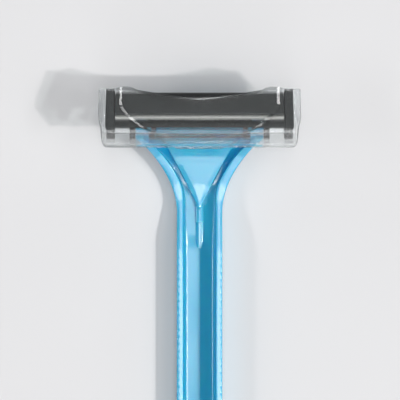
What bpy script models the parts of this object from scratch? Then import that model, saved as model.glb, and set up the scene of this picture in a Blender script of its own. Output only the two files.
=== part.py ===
"""A disposable safety razor with its clear travel cap on, lying on its back with the face up.

X runs across the head, Y along the handle towards the head, Z up from the table. The origin lies
under the middle of the whole razor, on the table. The head's own frame, an empty, sits in the middle
of the shaving face: its Y runs up the face, away from the handle, and its Z stands out of the face.
All lengths are in metres.
"""

import math

import bmesh
import bpy
import numpy as np
from mathutils import Matrix, Vector

# Running gap between pieces that touch, and the finer one inside the blade stack
FIT_GAP = 0.0003
BLADE_GAP = 0.00015

# Handle: the grip is a gutter, open upwards
WAIST_Y = 0.030
GRIP_LENGTH = 0.0875
GRIP_HALF_WIDTH = 0.0051
RIM_HEIGHT = 0.0061
RIM_WIDTH = 0.00155
GRIP_FLOOR = 0.0012
BELLY_RADIUS = 0.0021
SHOULDER_RADIUS = 0.0008
TROUGH_DRAFT = 0.10
TAIL_FULLNESS = 2.5
RIM_EDGE_ROUND = 0.00018
CORNER_SHARE = 0.8
BOWL_SHARE = 0.85
GRIP_BOWL_WIDTH = 0.0030
GRIP_BOWL_HEIGHT = 0.0034

# Neck: the gutter splits round a raised panel and climbs to the head
NECK_LENGTH = 0.0195
NECK_FLARE = 31.5
ARM_HALF_WIDTH = 0.0140
NECK_DIP = 0.0022
DIP_START_Y = 0.021
DIP_RUN = 0.0125
CLIMB_START_Y = 0.0345
CLIMB_RATE = 34.0
ARM_CLIMB_START_Y = 0.040
ARM_CLIMB_RATE = 17000.0
BELLY_CLIMB_RATE = 3000.0
CHANNEL_DEPTH = 0.0027
NECK_BOWL_WIDTH = 0.0010
NECK_BOWL_HEIGHT = 0.0016
PANEL_TIP_Y = 0.0317
PANEL_OPENING = 0.42
PANEL_FLARE = 13.4
PANEL_HALF_WIDTH = 0.0104
PANEL_HEIGHT = 0.0014
PANEL_SIDE = 0.0006
PANEL_RAMP = 0.0045
PANEL_SUNK = 0.0004
PANEL_TOP_SHARE = 0.3

# Grip notches along both shoulders of the gutter
NOTCH_PITCH = 0.0016
NOTCH_RADIUS = 0.00055
NOTCH_DEPTH = 0.00027
NOTCH_LENGTH = 0.0026
NOTCH_LEAN = math.radians(45.0)
NOTCH_FIRST_Y = 0.0200
NOTCH_TAIL_MARGIN = 0.0095

# Head: where its frame sits, its tilt, and the black block
HEAD_Y = 0.05285
HEAD_Z = 0.0162
HEAD_TILT = math.radians(22.0)
HEAD_HALF_WIDTH = 0.02045
FACE_HALF_DEPTH = 0.0046
CHEEK_THICKNESS = 0.0020
CHEEK_ROUND = 0.0003
CHEEK_UNDERCUT = 0.0012
CHEEK_HEEL_V = 0.0015
FOOT_DEPTH = 0.0049
FOOT_REACH = 0.0003
FOOT_LIP = 0.0007
FOOT_THICKNESS = 0.0013
SEAT_DEPTH = 0.0032
SEAT_BACK_STEP = 0.0025
SEAT_BACK = 0.0041
SEAT_NOSE_SETBACK = 0.00045
GUARD_SET_BACK = 0.00015
GUARD_DEPTH = 0.0016
GUARD_WIDTH = 0.0012
GUARD_TOP = 0.00025
GUARD_CROWN = 0.000125
GUARD_BACK_TOP = 0.0005
GUARD_BITE = 0.0003
BRIDGE_COUNT = 9
BRIDGE_THICKNESS = 0.0007
BRIDGE_HEIGHT = 0.0007
BRIDGE_BITE = 0.0004
MOUNT_HALF_WIDTH = 0.0111
MOUNT_RIB = 0.0011
ARM_HEIGHT = 0.0006
ARM_BITE = 0.00045
INSET = 0.0001
LUG_END_INSET = 0.0058
LUG_WIDTH = 0.0013

# Blade
BLADE_WIDTH = 0.0046
BLADE_THICKNESS = 0.00012
BLADE_BEVEL = 0.00045
BLADE_TILT = math.radians(22.0)
BLADE_EDGE_V = 0.0025
BLADE_EDGE_DEPTH = 0.00012
BLADE_EXPOSURE = 0.00085

# Top cover, with its studs
COVER_NOSE = 0.0003
COVER_ROUND = 0.0006
STUD_CHEEK_INSET = 0.00385
STUD_V = 0.0002
STUD_RADIUS = 0.0008
STUD_ROOT_DEPTH = 0.0004
RIVET_RADIUS = 0.0011
RIVET_HEIGHT = 0.0006
PEG_DEPTH = 0.0024

# Protective cap
CAP_WALL = 0.00085
CAP_END_WALL = 0.0006
CAP_END_GAP = 0.0003
CAP_END_LEAN = 0.16
CAP_RIDGE_V = 0.0061
CAP_TOP_V = 0.00475
CAP_SKIRT_DROP = 0.00435
CAP_SKIRT_SPLAY = 0.0017
CAP_END_DROP = 0.0048
CAP_EDGE_ROUND = 0.0005
LIP_END_INSET = 0.00255
LIP_LENGTH = 0.0036
LIP_THICKNESS = 0.0006
LIP_DROP = 0.0014
NOTCH_LIP_INSET = 0.0003
NOTCH_SAGITTA = 0.0026
SHIELD_RISE = 0.00045
SHIELD_END_INSET = 0.00335
SHIELD_FOOT_HALF_WIDTH = 0.0048
SHIELD_STRAIGHT_V = 0.0005
SHIELD_FULLNESS = 1.45

# How finely round forms are cut
ARC_STEPS = 5
TAIL_STEPS = 9
TAIL_LAST_ANGLE = 86.0
NECK_STEP = 0.0011
NOTCH_SIDES = 10
ROUND_SIDES = 20
OUTLINE_STEPS = 16
NOSE_STEPS = 4

TAIL_Y = WAIST_Y - GRIP_LENGTH
NECK_END_Y = WAIST_Y + NECK_LENGTH
LANDING_DEPTH = FOOT_DEPTH + FIT_GAP
LUG_X = HEAD_HALF_WIDTH - LUG_END_INSET
STUD_X = HEAD_HALF_WIDTH - CHEEK_THICKNESS - STUD_CHEEK_INSET
LIP_OUTER_X = HEAD_HALF_WIDTH - LIP_END_INSET
LIP_INNER_X = LIP_OUTER_X - LIP_LENGTH
NOTCH_HALF_CHORD = LIP_INNER_X - NOTCH_LIP_INSET
SHIELD_HALF_WIDTH = HEAD_HALF_WIDTH - SHIELD_END_INSET
FAR = 0.03


def make_collection(name):
    collection = bpy.data.collections.new(name)
    bpy.context.scene.collection.children.link(collection)
    return collection


def make_material(name, colour, roughness, metallic=0.0, alpha=1.0):
    material = bpy.data.materials.new(name)
    material.use_nodes = True
    shader = material.node_tree.nodes["Principled BSDF"]
    shader.inputs["Base Color"].default_value = (*colour, 1.0)
    shader.inputs["Roughness"].default_value = roughness
    shader.inputs["Metallic"].default_value = metallic
    shader.inputs["Alpha"].default_value = alpha
    return material


def add_object(name, mesh, collection, parent=None, material=None):
    thing = bpy.data.objects.new(name, mesh)
    collection.objects.link(thing)
    thing.parent = parent
    if material:
        mesh.materials.append(material)
    return thing


def make_cutter(thing):
    thing.hide_render = True
    thing.display_type = "WIRE"
    return thing


def combine(target, tool, operation):
    modifier = target.modifiers.new(tool.name, "BOOLEAN")
    modifier.operation = operation
    modifier.object = tool
    modifier.solver = "EXACT"


def soften(thing, width, angle_degrees=35.0, segments=2):
    modifier = thing.modifiers.new("softened_edges", "BEVEL")
    modifier.width = width
    modifier.segments = segments
    modifier.limit_method = "ANGLE"
    modifier.angle_limit = math.radians(angle_degrees)
    modifier.harden_normals = False


def shade(thing, angle_degrees=35.0):
    mesh = thing.data
    mesh.shade_smooth()
    mesh.set_sharp_from_angle(angle=math.radians(angle_degrees))


def smooth_step(t):
    t = np.clip(t, 0.0, 1.0)
    return t * t * (3.0 - 2.0 * t)


def climb(y, start, rate, power):
    return rate * np.clip(y - start, 0.0, None) ** power


def outline_prism(name, points, low, high, plane, collection, parent=None):
    """A flat outline drawn as a filled 2D curve and extruded from low to high.

    plane SIDE draws the outline in the head's Y and Z and extrudes it along X;
    plane PLAN draws it in X and Y and extrudes it along Z."""
    curve = bpy.data.curves.new(name, "CURVE")
    curve.dimensions = "2D"
    curve.fill_mode = "BOTH"
    curve.extrude = (high - low) / 2.0
    spline = curve.splines.new("POLY")
    spline.points.add(len(points) - 1)
    for point, (a, b) in zip(spline.points, points):
        point.co = (a, b, 0.0, 1.0)
    spline.use_cyclic_u = True
    drawn = bpy.data.objects.new(name + "_outline", curve)
    bpy.context.scene.collection.objects.link(drawn)
    bpy.context.view_layer.update()
    evaluated = drawn.evaluated_get(bpy.context.evaluated_depsgraph_get())
    mesh = bpy.data.meshes.new_from_object(evaluated)
    bpy.data.objects.remove(drawn)
    turn = Matrix.Identity(4)
    if plane == "SIDE":
        turn = Matrix(((0, 0, 1, 0), (1, 0, 0, 0), (0, 1, 0, 0), (0, 0, 0, 1)))
    mesh.transform(turn @ Matrix.Translation((0.0, 0.0, (low + high) / 2.0)))
    tidy_mesh(mesh)
    mesh.name = name
    return add_object(name, mesh, collection, parent)


def tidy_mesh(mesh):
    """Welds the loose caps of a drawn shape and points its faces outwards."""
    shape = bmesh.new()
    shape.from_mesh(mesh)
    bmesh.ops.remove_doubles(shape, verts=shape.verts, dist=1e-7)
    bmesh.ops.recalc_face_normals(shape, faces=shape.faces)
    shape.to_mesh(mesh)
    shape.free()


def blocks(name, extents, collection, parent=None):
    """Boxes in one mesh, each given as its lowest and its highest corner."""
    shape = bmesh.new()
    for low, high in extents:
        low = Vector(low)
        high = Vector(high)
        size = Matrix.Diagonal((*(high - low), 1.0))
        place = Matrix.Translation((low + high) / 2.0)
        bmesh.ops.create_cube(shape, size=1.0, matrix=place @ size)
    mesh = bpy.data.meshes.new(name)
    shape.to_mesh(mesh)
    shape.free()
    return add_object(name, mesh, collection, parent)


def rods(name, places, radius, low, high, collection, parent=None):
    """Upright round rods in one mesh, at the given X and Y, from low to high."""
    shape = bmesh.new()
    for x, y in places:
        bmesh.ops.create_cone(
            shape, cap_ends=True, segments=ROUND_SIDES, radius1=radius, radius2=radius,
            depth=high - low, matrix=Matrix.Translation((x, y, (low + high) / 2.0)),
        )
    mesh = bpy.data.meshes.new(name)
    shape.to_mesh(mesh)
    shape.free()
    return add_object(name, mesh, collection, parent)


def loft(name, stations, half_section, collection, material=None):
    """A closed skin over unlike sections that stand across Y.

    half_section gives, for all the stations at once, the X and Z of the section's right half,
    from the bottom round to the top; the left half is its mirror image."""
    half_x, half_z = half_section(stations)
    ring_x = np.concatenate([half_x, -half_x[:, ::-1]], axis=1)
    ring_z = np.concatenate([half_z, half_z[:, ::-1]], axis=1)
    count, around = ring_x.shape
    ring_y = np.repeat(stations[:, None], around, axis=1)
    points = np.stack([ring_x, ring_y, ring_z], axis=2).reshape(-1, 3)
    here = np.arange(count - 1)[:, None] * around + np.arange(around)[None, :]
    beside = np.arange(count - 1)[:, None] * around + (np.arange(around)[None, :] + 1) % around
    quads = np.stack([here, beside, beside + around, here + around], axis=2).reshape(-1, 4)
    first = np.arange(around)[::-1]
    last = (count - 1) * around + np.arange(around)
    mesh = bpy.data.meshes.new(name)
    faces = [face.tolist() for face in quads] + [first.tolist(), last.tolist()]
    mesh.from_pydata(points.tolist(), [], faces)
    tidy_mesh(mesh)
    return add_object(name, mesh, collection, None, material)


def half_width(y):
    """Half the handle's width: constant along the grip, then a parabola, with a full round tail."""
    flared = GRIP_HALF_WIDTH + climb(y, WAIST_Y, NECK_FLARE, 2)
    return np.minimum(flared, ARM_HALF_WIDTH) * tail_share(y, GRIP_HALF_WIDTH)


def tail_share(y, radius):
    """How much of the full width a tail of this radius has left: 1 in the grip, 0 at the tip."""
    into_tail = np.clip((TAIL_Y + GRIP_HALF_WIDTH - y) / radius, 0.0, 1.0)
    return (1.0 - into_tail**TAIL_FULLNESS) ** (1.0 / TAIL_FULLNESS)


def rim_top(y):
    """Height of the rims: level along the grip, dipping at the waist, then up to the head."""
    dip = NECK_DIP * smooth_step((y - DIP_START_Y) / DIP_RUN)
    lift = climb(y, CLIMB_START_Y, CLIMB_RATE, 2) + climb(y, ARM_CLIMB_START_Y, ARM_CLIMB_RATE, 3)
    return RIM_HEIGHT - dip + lift


def belly(y):
    """Height of the underside: on the table up to the neck, then rising more gently than the rims."""
    lift = climb(y, CLIMB_START_Y, CLIMB_RATE, 2)
    return lift + climb(y, ARM_CLIMB_START_Y, BELLY_CLIMB_RATE, 3)


def trough_floor(y):
    """Height of the gutter's floor: a fixed floor in the grip, a fixed channel depth in the neck."""
    share = smooth_step((y - DIP_START_Y) / DIP_RUN)
    return (1.0 - share) * GRIP_FLOOR + share * (rim_top(y) - CHANNEL_DEPTH)


def handle_section(y):
    width = half_width(y)
    low = belly(y)
    high = rim_top(y)
    bottom = np.minimum(BELLY_RADIUS, CORNER_SHARE * width)
    shoulder = np.minimum(SHOULDER_RADIUS, CORNER_SHARE * width)
    angles = np.linspace(0.0, math.pi / 2.0, ARC_STEPS)
    sine = np.sin(angles)
    cosine = np.cos(angles)
    bottom_x = (width - bottom)[:, None] + bottom[:, None] * sine
    bottom_z = low[:, None] + bottom[:, None] * (1.0 - cosine)
    top_x = (width - shoulder)[:, None] + shoulder[:, None] * cosine
    top_z = (high - shoulder)[:, None] + shoulder[:, None] * sine
    return np.concatenate([bottom_x, top_x], axis=1), np.concatenate([bottom_z, top_z], axis=1)


def trough_section(y):
    """The gutter's hollow: a round bowl below walls that lean out a little."""
    share = smooth_step((y - DIP_START_Y) / DIP_RUN)
    floor = trough_floor(y)
    high = rim_top(y)
    bowl_height = (1.0 - share) * GRIP_BOWL_HEIGHT + share * NECK_BOWL_HEIGHT
    inner = GRIP_HALF_WIDTH - RIM_WIDTH
    tail = tail_share(y, inner)
    in_tail = y < TAIL_Y + GRIP_HALF_WIDTH
    mouth = np.where(in_tail, inner * tail, half_width(y) - RIM_WIDTH)
    wall = mouth - TROUGH_DRAFT * (high - floor - bowl_height) * tail
    bowl_width = (1.0 - share) * GRIP_BOWL_WIDTH + share * NECK_BOWL_WIDTH
    bowl_width = np.minimum(bowl_width, BOWL_SHARE * wall)
    angles = np.linspace(0.0, math.pi / 2.0, ARC_STEPS)
    bowl_x = (wall - bowl_width)[:, None] + bowl_width[:, None] * np.sin(angles)
    bowl_z = floor[:, None] + bowl_height[:, None] * (1.0 - np.cos(angles))
    over = high + RIM_WIDTH
    over_x = mouth + TROUGH_DRAFT * RIM_WIDTH
    half_x = np.concatenate([bowl_x, over_x[:, None]], axis=1)
    half_z = np.concatenate([bowl_z, over[:, None]], axis=1)
    return half_x, half_z


def panel_section(y):
    """The raised panel between the two channels, with sloped sides and a ramp at its tip."""
    run = y - PANEL_TIP_Y
    base = np.minimum(PANEL_OPENING * run + climb(y, PANEL_TIP_Y, PANEL_FLARE, 2), PANEL_HALF_WIDTH)
    height = PANEL_HEIGHT * smooth_step((run + PANEL_RAMP) / (PANEL_RAMP + PANEL_RAMP))
    top = np.maximum(base - PANEL_SIDE, PANEL_TOP_SHARE * base)
    floor = trough_floor(y)
    foot = base + PANEL_SIDE * PANEL_SUNK / PANEL_HEIGHT
    half_x = np.stack([foot, top], axis=1)
    half_z = np.stack([floor - PANEL_SUNK, floor + height], axis=1)
    return half_x, half_z


def tail_stations(radius):
    """Y of the stations round a tail of this radius, closest together at the very end."""
    angles = np.radians(np.linspace(TAIL_LAST_ANGLE, 0.0, TAIL_STEPS))
    return TAIL_Y + GRIP_HALF_WIDTH - radius * np.sin(angles)


def neck_stations(start, end):
    return np.linspace(start, end, int(round((end - start) / NECK_STEP)) + 1)


def notch_places():
    count = int((NOTCH_FIRST_Y - TAIL_Y - NOTCH_TAIL_MARGIN) / NOTCH_PITCH) + 1
    return NOTCH_FIRST_Y - NOTCH_PITCH * np.arange(count)


def make_notch_cutters(collection):
    """Small rods laid across the rounded shoulders, one on each side at every notch."""
    shape = bmesh.new()
    off_centre = SHOULDER_RADIUS + NOTCH_RADIUS - NOTCH_DEPTH
    centre_x = GRIP_HALF_WIDTH - SHOULDER_RADIUS + off_centre * math.sin(NOTCH_LEAN)
    centre_z = RIM_HEIGHT - SHOULDER_RADIUS + off_centre * math.cos(NOTCH_LEAN)
    for y in notch_places():
        for side in (-1.0, 1.0):
            lean = Matrix.Rotation(side * (math.pi / 2.0 + NOTCH_LEAN), 4, "Y")
            place = Matrix.Translation((side * centre_x, float(y), centre_z))
            bmesh.ops.create_cone(
                shape, cap_ends=True, segments=NOTCH_SIDES, radius1=NOTCH_RADIUS,
                radius2=NOTCH_RADIUS, depth=NOTCH_LENGTH, matrix=place @ lean,
            )
    mesh = bpy.data.meshes.new("notch_cutters")
    shape.to_mesh(mesh)
    shape.free()
    return make_cutter(add_object("notch_cutters", mesh, collection))


def make_handle(parts, cutters, head, material):
    body_y = np.concatenate([
        tail_stations(GRIP_HALF_WIDTH),
        neck_stations(DIP_START_Y, NECK_END_Y),
    ])
    handle = loft("handle", body_y, handle_section, parts, material)
    inner = GRIP_HALF_WIDTH - RIM_WIDTH
    trough_y = np.concatenate([
        tail_stations(inner),
        neck_stations(DIP_START_Y, NECK_END_Y + NECK_STEP),
    ])
    trough = make_cutter(loft("trough_cutter", trough_y, trough_section, cutters))
    combine(handle, trough, "DIFFERENCE")
    panel_y = neck_stations(PANEL_TIP_Y + PANEL_SIDE, NECK_END_Y - FIT_GAP)
    panel = make_cutter(loft("neck_panel", panel_y, panel_section, cutters))
    combine(handle, panel, "UNION")
    landing = blocks(
        "landing_cutter",
        [((-FAR, -FAR, -LANDING_DEPTH), (FAR, FAR, FAR))],
        cutters, head,
    )
    combine(handle, make_cutter(landing), "DIFFERENCE")
    soften(handle, RIM_EDGE_ROUND, 38.0)
    combine(handle, make_notch_cutters(cutters), "DIFFERENCE")
    shade(handle)
    return handle


def along_blade(distance, offset):
    """A point in the head's Y and Z: distance back from the cutting edge, offset above the blade."""
    back = distance * math.cos(BLADE_TILT) + offset * math.sin(BLADE_TILT)
    up = offset * math.cos(BLADE_TILT) - distance * math.sin(BLADE_TILT)
    return (back - BLADE_EDGE_V, up - BLADE_EDGE_DEPTH)


def make_seat(parts, cutters, head, material):
    """The black block: two end cheeks, the sloped seat, the guard bar, and the foot on the neck."""
    inner = HEAD_HALF_WIDTH - CHEEK_THICKNESS
    reach = inner + CHEEK_THICKNESS / 2.0
    under_blade = -BLADE_THICKNESS / 2.0 - BLADE_GAP
    nose = along_blade(SEAT_NOSE_SETBACK, under_blade)
    behind_blade = along_blade(BLADE_WIDTH + BLADE_GAP, under_blade)
    seat_outline = [
        nose,
        behind_blade,
        (behind_blade[0], -SEAT_BACK_STEP),
        (SEAT_BACK, -SEAT_BACK_STEP),
        (SEAT_BACK, -SEAT_DEPTH),
        (nose[0], -SEAT_DEPTH),
    ]
    seat = outline_prism("blade_seat", seat_outline, -reach, reach, "SIDE", parts, head)
    seat.data.materials.append(material)
    add_cheeks(seat, inner, cutters, head)
    add_guard(seat, inner, reach, nose[0], cutters, head)
    add_foot(seat, nose[0], cutters, head)
    holes = rods("stud_holes", [(-STUD_X, STUD_V), (STUD_X, STUD_V)], STUD_RADIUS + BLADE_GAP,
                 -FOOT_DEPTH, 0.0, cutters, head)
    combine(seat, make_cutter(holes), "DIFFERENCE")
    peg_hole = rods("peg_hole", [(0.0, STUD_V)], STUD_RADIUS + BLADE_GAP,
                    -PEG_DEPTH - BLADE_GAP, 0.0, cutters, head)
    combine(seat, make_cutter(peg_hole), "DIFFERENCE")
    return seat


def lean_ends(thing, level, lean):
    """Slopes a prism's end faces: they stay where they are at this level and spread above it."""
    for vertex in thing.data.vertices:
        spread = lean * (vertex.co.z - level)
        vertex.co.x += math.copysign(spread, vertex.co.x)


def add_cheeks(seat, inner, cutters, head):
    front = -FACE_HALF_DEPTH
    foot_top = -FOOT_DEPTH + FOOT_THICKNESS
    outline = [
        (FACE_HALF_DEPTH, -CHEEK_ROUND),
        (FACE_HALF_DEPTH - CHEEK_ROUND, 0.0),
        (front + CHEEK_ROUND, 0.0),
        (front, -CHEEK_ROUND),
        (front + CHEEK_UNDERCUT, foot_top),
        (front - FOOT_REACH, foot_top),
        (front - FOOT_REACH, -FOOT_DEPTH),
        (CHEEK_HEEL_V, -FOOT_DEPTH),
        (FACE_HALF_DEPTH, -SEAT_DEPTH),
    ]
    for side, name in ((-1.0, "cheek_left"), (1.0, "cheek_right")):
        low, high = sorted((side * inner, side * HEAD_HALF_WIDTH))
        cheek = outline_prism(name, outline, low, high, "SIDE", cutters, head)
        combine(seat, make_cutter(cheek), "UNION")


def add_guard(seat, inner, reach, seat_nose_v, cutters, head):
    """The bar in front of the blade, and the thin bridges that carry it across the rinse gap."""
    front = -FACE_HALF_DEPTH + GUARD_SET_BACK
    outline = [
        (front, -GUARD_TOP),
        (front + GUARD_WIDTH / 2.0, -GUARD_CROWN),
        (front + GUARD_WIDTH, -GUARD_BACK_TOP),
        (front + GUARD_WIDTH, -GUARD_DEPTH),
        (front + GUARD_WIDTH / 2.0, -GUARD_DEPTH),
    ]
    guard = outline_prism("guard_bar", outline, -reach, reach, "SIDE", cutters, head)
    combine(seat, make_cutter(guard), "UNION")
    spacing = 2.0 * inner / (BRIDGE_COUNT + 1)
    bridge_front = front + GUARD_WIDTH - GUARD_BITE
    bridge_back = seat_nose_v + BRIDGE_BITE
    high = -GUARD_DEPTH + BRIDGE_HEIGHT / 2.0
    low = high - BRIDGE_HEIGHT
    bridges = []
    for index in range(BRIDGE_COUNT):
        x = -inner + spacing * (index + 1)
        left = x - BRIDGE_THICKNESS / 2.0
        bridges.append(((left, bridge_front, low), (left + BRIDGE_THICKNESS, bridge_back, high)))
    combine(seat, make_cutter(blocks("guard_bridges", bridges, cutters, head)), "UNION")


def add_foot(seat, seat_nose_v, cutters, head):
    """What holds the head to the neck: a block under the seat, a bar in front of it, and arms."""
    front = -FACE_HALF_DEPTH - FOOT_REACH
    lip_back = front + FOOT_LIP
    foot_top = -FOOT_DEPTH + FOOT_THICKNESS
    into_seat = -SEAT_DEPTH + ARM_BITE
    block = ((-MOUNT_HALF_WIDTH, seat_nose_v - ARM_BITE, -FOOT_DEPTH),
             (MOUNT_HALF_WIDTH, neck_end_v(), into_seat))
    combine(seat, make_cutter(blocks("foot_block", [block], cutters, head)), "UNION")
    bar = ((-MOUNT_HALF_WIDTH, front, -FOOT_DEPTH), (MOUNT_HALF_WIDTH, lip_back, foot_top))
    combine(seat, make_cutter(blocks("mount_bar", [bar], cutters, head)), "UNION")
    edge = MOUNT_HALF_WIDTH - MOUNT_RIB
    places = [(x, MOUNT_RIB, INSET) for x in (-edge, edge)]
    places += [(x, LUG_WIDTH, 0.0) for x in (-LUG_X, LUG_X)]
    post_front = seat_nose_v + INSET
    post_back = seat_nose_v + ARM_BITE + INSET
    for index, (x, width, inset) in enumerate(places):
        outline = [
            (front + inset, -FOOT_DEPTH + inset),
            (post_back, -FOOT_DEPTH + inset),
            (post_back, into_seat + inset),
            (post_front, into_seat + inset),
            (post_front, -FOOT_DEPTH + ARM_HEIGHT),
            (lip_back - inset, -FOOT_DEPTH + ARM_HEIGHT),
            (lip_back - inset, foot_top - inset),
            (front + inset, foot_top - inset),
        ]
        arm = outline_prism(f"foot_arm_{index + 1}", outline, x - width / 2.0, x + width / 2.0,
                            "SIDE", cutters, head)
        combine(seat, make_cutter(arm), "UNION")


def neck_end_v():
    """Where the neck's landing ends, along the head's own Y."""
    return (NECK_END_Y - HEAD_Y) / math.cos(HEAD_TILT) + LANDING_DEPTH * math.tan(HEAD_TILT)


def make_blade(parts, cutters, head, material):
    half_length = HEAD_HALF_WIDTH - CHEEK_THICKNESS - BLADE_GAP
    half = BLADE_THICKNESS / 2.0
    corners = [
        (0.0, 0.0),
        (BLADE_BEVEL, half),
        (BLADE_WIDTH, half),
        (BLADE_WIDTH, -half),
        (BLADE_BEVEL, -half),
    ]
    outline = [along_blade(distance, offset) for distance, offset in corners]
    blade = outline_prism("blade", outline, -half_length, half_length, "SIDE", parts, head)
    blade.data.materials.append(material)
    places = [(x, STUD_V) for x in (-STUD_X, 0.0, STUD_X)]
    holes = rods("blade_holes", places, STUD_RADIUS + BLADE_GAP, -SEAT_DEPTH, 0.0, cutters, head)
    combine(blade, make_cutter(holes), "DIFFERENCE")
    return blade


def quarter_round(centre, across, up):
    """Points of a quarter ellipse about the centre, from beside it to above it."""
    angles = np.linspace(0.0, math.pi / 2.0, NOSE_STEPS).tolist()
    return [(centre[0] + across * math.cos(a), centre[1] + up * math.sin(a)) for a in angles]


def make_top_cover(parts, cutters, head, material):
    """The black cover that clamps the blade: a wedge with two riveted studs and a middle peg."""
    half_length = HEAD_HALF_WIDTH - CHEEK_THICKNESS - BLADE_GAP
    above_blade = BLADE_THICKNESS / 2.0 + BLADE_GAP
    nose = along_blade(BLADE_EXPOSURE / math.cos(BLADE_TILT), above_blade)
    behind_blade = along_blade(BLADE_WIDTH + BLADE_GAP, above_blade)
    seated = -SEAT_BACK_STEP + BLADE_GAP
    back_v = behind_blade[0] + BLADE_GAP
    outline = [
        *quarter_round((nose[0] + COVER_NOSE, nose[1]), -COVER_NOSE, -nose[1]),
        *quarter_round((SEAT_BACK - COVER_ROUND, -COVER_ROUND), COVER_ROUND, COVER_ROUND)[::-1],
        (SEAT_BACK, seated),
        (back_v, seated),
        (back_v, behind_blade[1]),
        behind_blade,
    ]
    cover = outline_prism("top_cover", outline, -half_length, half_length, "SIDE", parts, head)
    cover.data.materials.append(material)
    into_cover = -STUD_ROOT_DEPTH
    rivet_top = -SEAT_DEPTH - BLADE_GAP
    rivet_bottom = rivet_top - RIVET_HEIGHT
    into_rivet = rivet_bottom + RIVET_HEIGHT / 2.0
    sides = [(-STUD_X, STUD_V), (STUD_X, STUD_V)]
    studs = rods("studs", sides, STUD_RADIUS, into_rivet, into_cover, cutters, head)
    combine(cover, make_cutter(studs), "UNION")
    rivets = rods("rivets", sides, RIVET_RADIUS, rivet_bottom, rivet_top, cutters, head)
    combine(cover, make_cutter(rivets), "UNION")
    peg = rods("peg", [(0.0, STUD_V)], STUD_RADIUS, -PEG_DEPTH, into_cover, cutters, head)
    combine(cover, make_cutter(peg), "UNION")
    return cover


def skirt_v(z, outward):
    """The head's Y of the cap's skirt at this height; outward is measured square to the skirt."""
    top_z = FIT_GAP + CAP_WALL
    slant = math.hypot(CAP_SKIRT_DROP, CAP_SKIRT_SPLAY)
    slope = CAP_SKIRT_SPLAY / CAP_SKIRT_DROP
    return -CAP_RIDGE_V - (top_z - z) * slope - outward * slant / CAP_SKIRT_DROP


def shield_outline():
    """Straight down from the top edge, then a curve that draws in to the skirt's bottom edge."""
    end_v = skirt_v(FIT_GAP + CAP_WALL - CAP_SKIRT_DROP, SHIELD_RISE) - INSET
    across = SHIELD_HALF_WIDTH - SHIELD_FOOT_HALF_WIDTH
    down = SHIELD_STRAIGHT_V - end_v
    angles = np.linspace(0.0, math.pi / 2.0, OUTLINE_STEPS)
    x = SHIELD_FOOT_HALF_WIDTH + across * np.cos(angles) ** (2.0 / SHIELD_FULLNESS)
    v = SHIELD_STRAIGHT_V - down * np.sin(angles) ** (2.0 / SHIELD_FULLNESS)
    x = np.concatenate([[SHIELD_HALF_WIDTH], x])
    v = np.concatenate([[CAP_TOP_V + INSET], v])
    right = list(zip(x.tolist(), v.tolist()))
    left = [(-px, pv) for px, pv in reversed(right)]
    return right + left


def make_protective_cap(parts, cutters, head, material):
    """The clear cap: a face panel, a skirt over the guard, two end walls and two small top lips."""
    face = FIT_GAP + CAP_WALL
    bottom = face - CAP_SKIRT_DROP
    half_length = HEAD_HALF_WIDTH + CAP_END_GAP + CAP_END_WALL
    gable = [
        (CAP_TOP_V, face),
        (skirt_v(face, 0.0), face),
        (skirt_v(bottom, 0.0), bottom),
        (CAP_TOP_V, -CAP_END_DROP),
    ]
    cap = outline_prism("protective_cap", gable, -half_length, half_length, "SIDE", parts, head)
    cap.data.materials.append(material)
    lean_ends(cap, bottom, CAP_END_LEAN)
    soften(cap, CAP_EDGE_ROUND, 30.0, 3)

    room_half = HEAD_HALF_WIDTH + CAP_END_GAP
    deep = bottom - CAP_WALL
    room_outline = [
        (FAR, FIT_GAP),
        (skirt_v(FIT_GAP, -CAP_WALL), FIT_GAP),
        (skirt_v(deep, -CAP_WALL), deep),
        (skirt_v(deep, -CAP_WALL), -FAR),
        (FAR, -FAR),
    ]
    room = outline_prism("cap_room", room_outline, -room_half, room_half, "SIDE", cutters, head)
    combine(cap, make_cutter(room), "DIFFERENCE")

    shield = outline_prism("shield", shield_outline(), -FAR, FAR, "PLAN", cutters, head)
    mid = FIT_GAP + CAP_WALL / 2.0
    raised = face + SHIELD_RISE
    skin = [
        (CAP_TOP_V - INSET, raised),
        (skirt_v(raised, SHIELD_RISE) + SHIELD_RISE / 2.0, raised),
        (skirt_v(raised - SHIELD_RISE, SHIELD_RISE), raised - SHIELD_RISE),
        (skirt_v(bottom + INSET, SHIELD_RISE), bottom + INSET),
        (skirt_v(bottom + INSET, -CAP_WALL / 2.0), bottom + INSET),
        (skirt_v(mid, -CAP_WALL / 2.0), mid),
        (CAP_TOP_V - INSET, mid),
    ]
    skin_solid = outline_prism("shield_skin", skin, -SHIELD_HALF_WIDTH - INSET,
                               SHIELD_HALF_WIDTH + INSET, "SIDE", cutters, head)
    combine(shield, make_cutter(skin_solid), "INTERSECT")
    combine(cap, make_cutter(shield), "UNION")

    lips = []
    for side in (-1.0, 1.0):
        low, high = sorted((side * LIP_INNER_X, side * LIP_OUTER_X))
        lip_v = SEAT_BACK + FIT_GAP
        lips.append(((low, lip_v, -LIP_DROP), (high, lip_v + LIP_THICKNESS, mid)))
    combine(cap, make_cutter(blocks("top_lips", lips, cutters, head)), "UNION")

    radius = (NOTCH_HALF_CHORD**2 + NOTCH_SAGITTA**2) / (2.0 * NOTCH_SAGITTA)
    centre_v = CAP_TOP_V - NOTCH_SAGITTA + radius
    reach = math.asin(NOTCH_HALF_CHORD / radius)
    angles = np.linspace(-reach, reach, OUTLINE_STEPS + OUTLINE_STEPS)
    arc = [(radius * math.sin(a), centre_v - radius * math.cos(a)) for a in angles]
    arc = arc + [(NOTCH_HALF_CHORD, FAR), (-NOTCH_HALF_CHORD, FAR)]
    notch = outline_prism("finger_notch", arc, 0.0, FAR, "PLAN", cutters, head)
    combine(cap, make_cutter(notch), "DIFFERENCE")
    return cap


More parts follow.
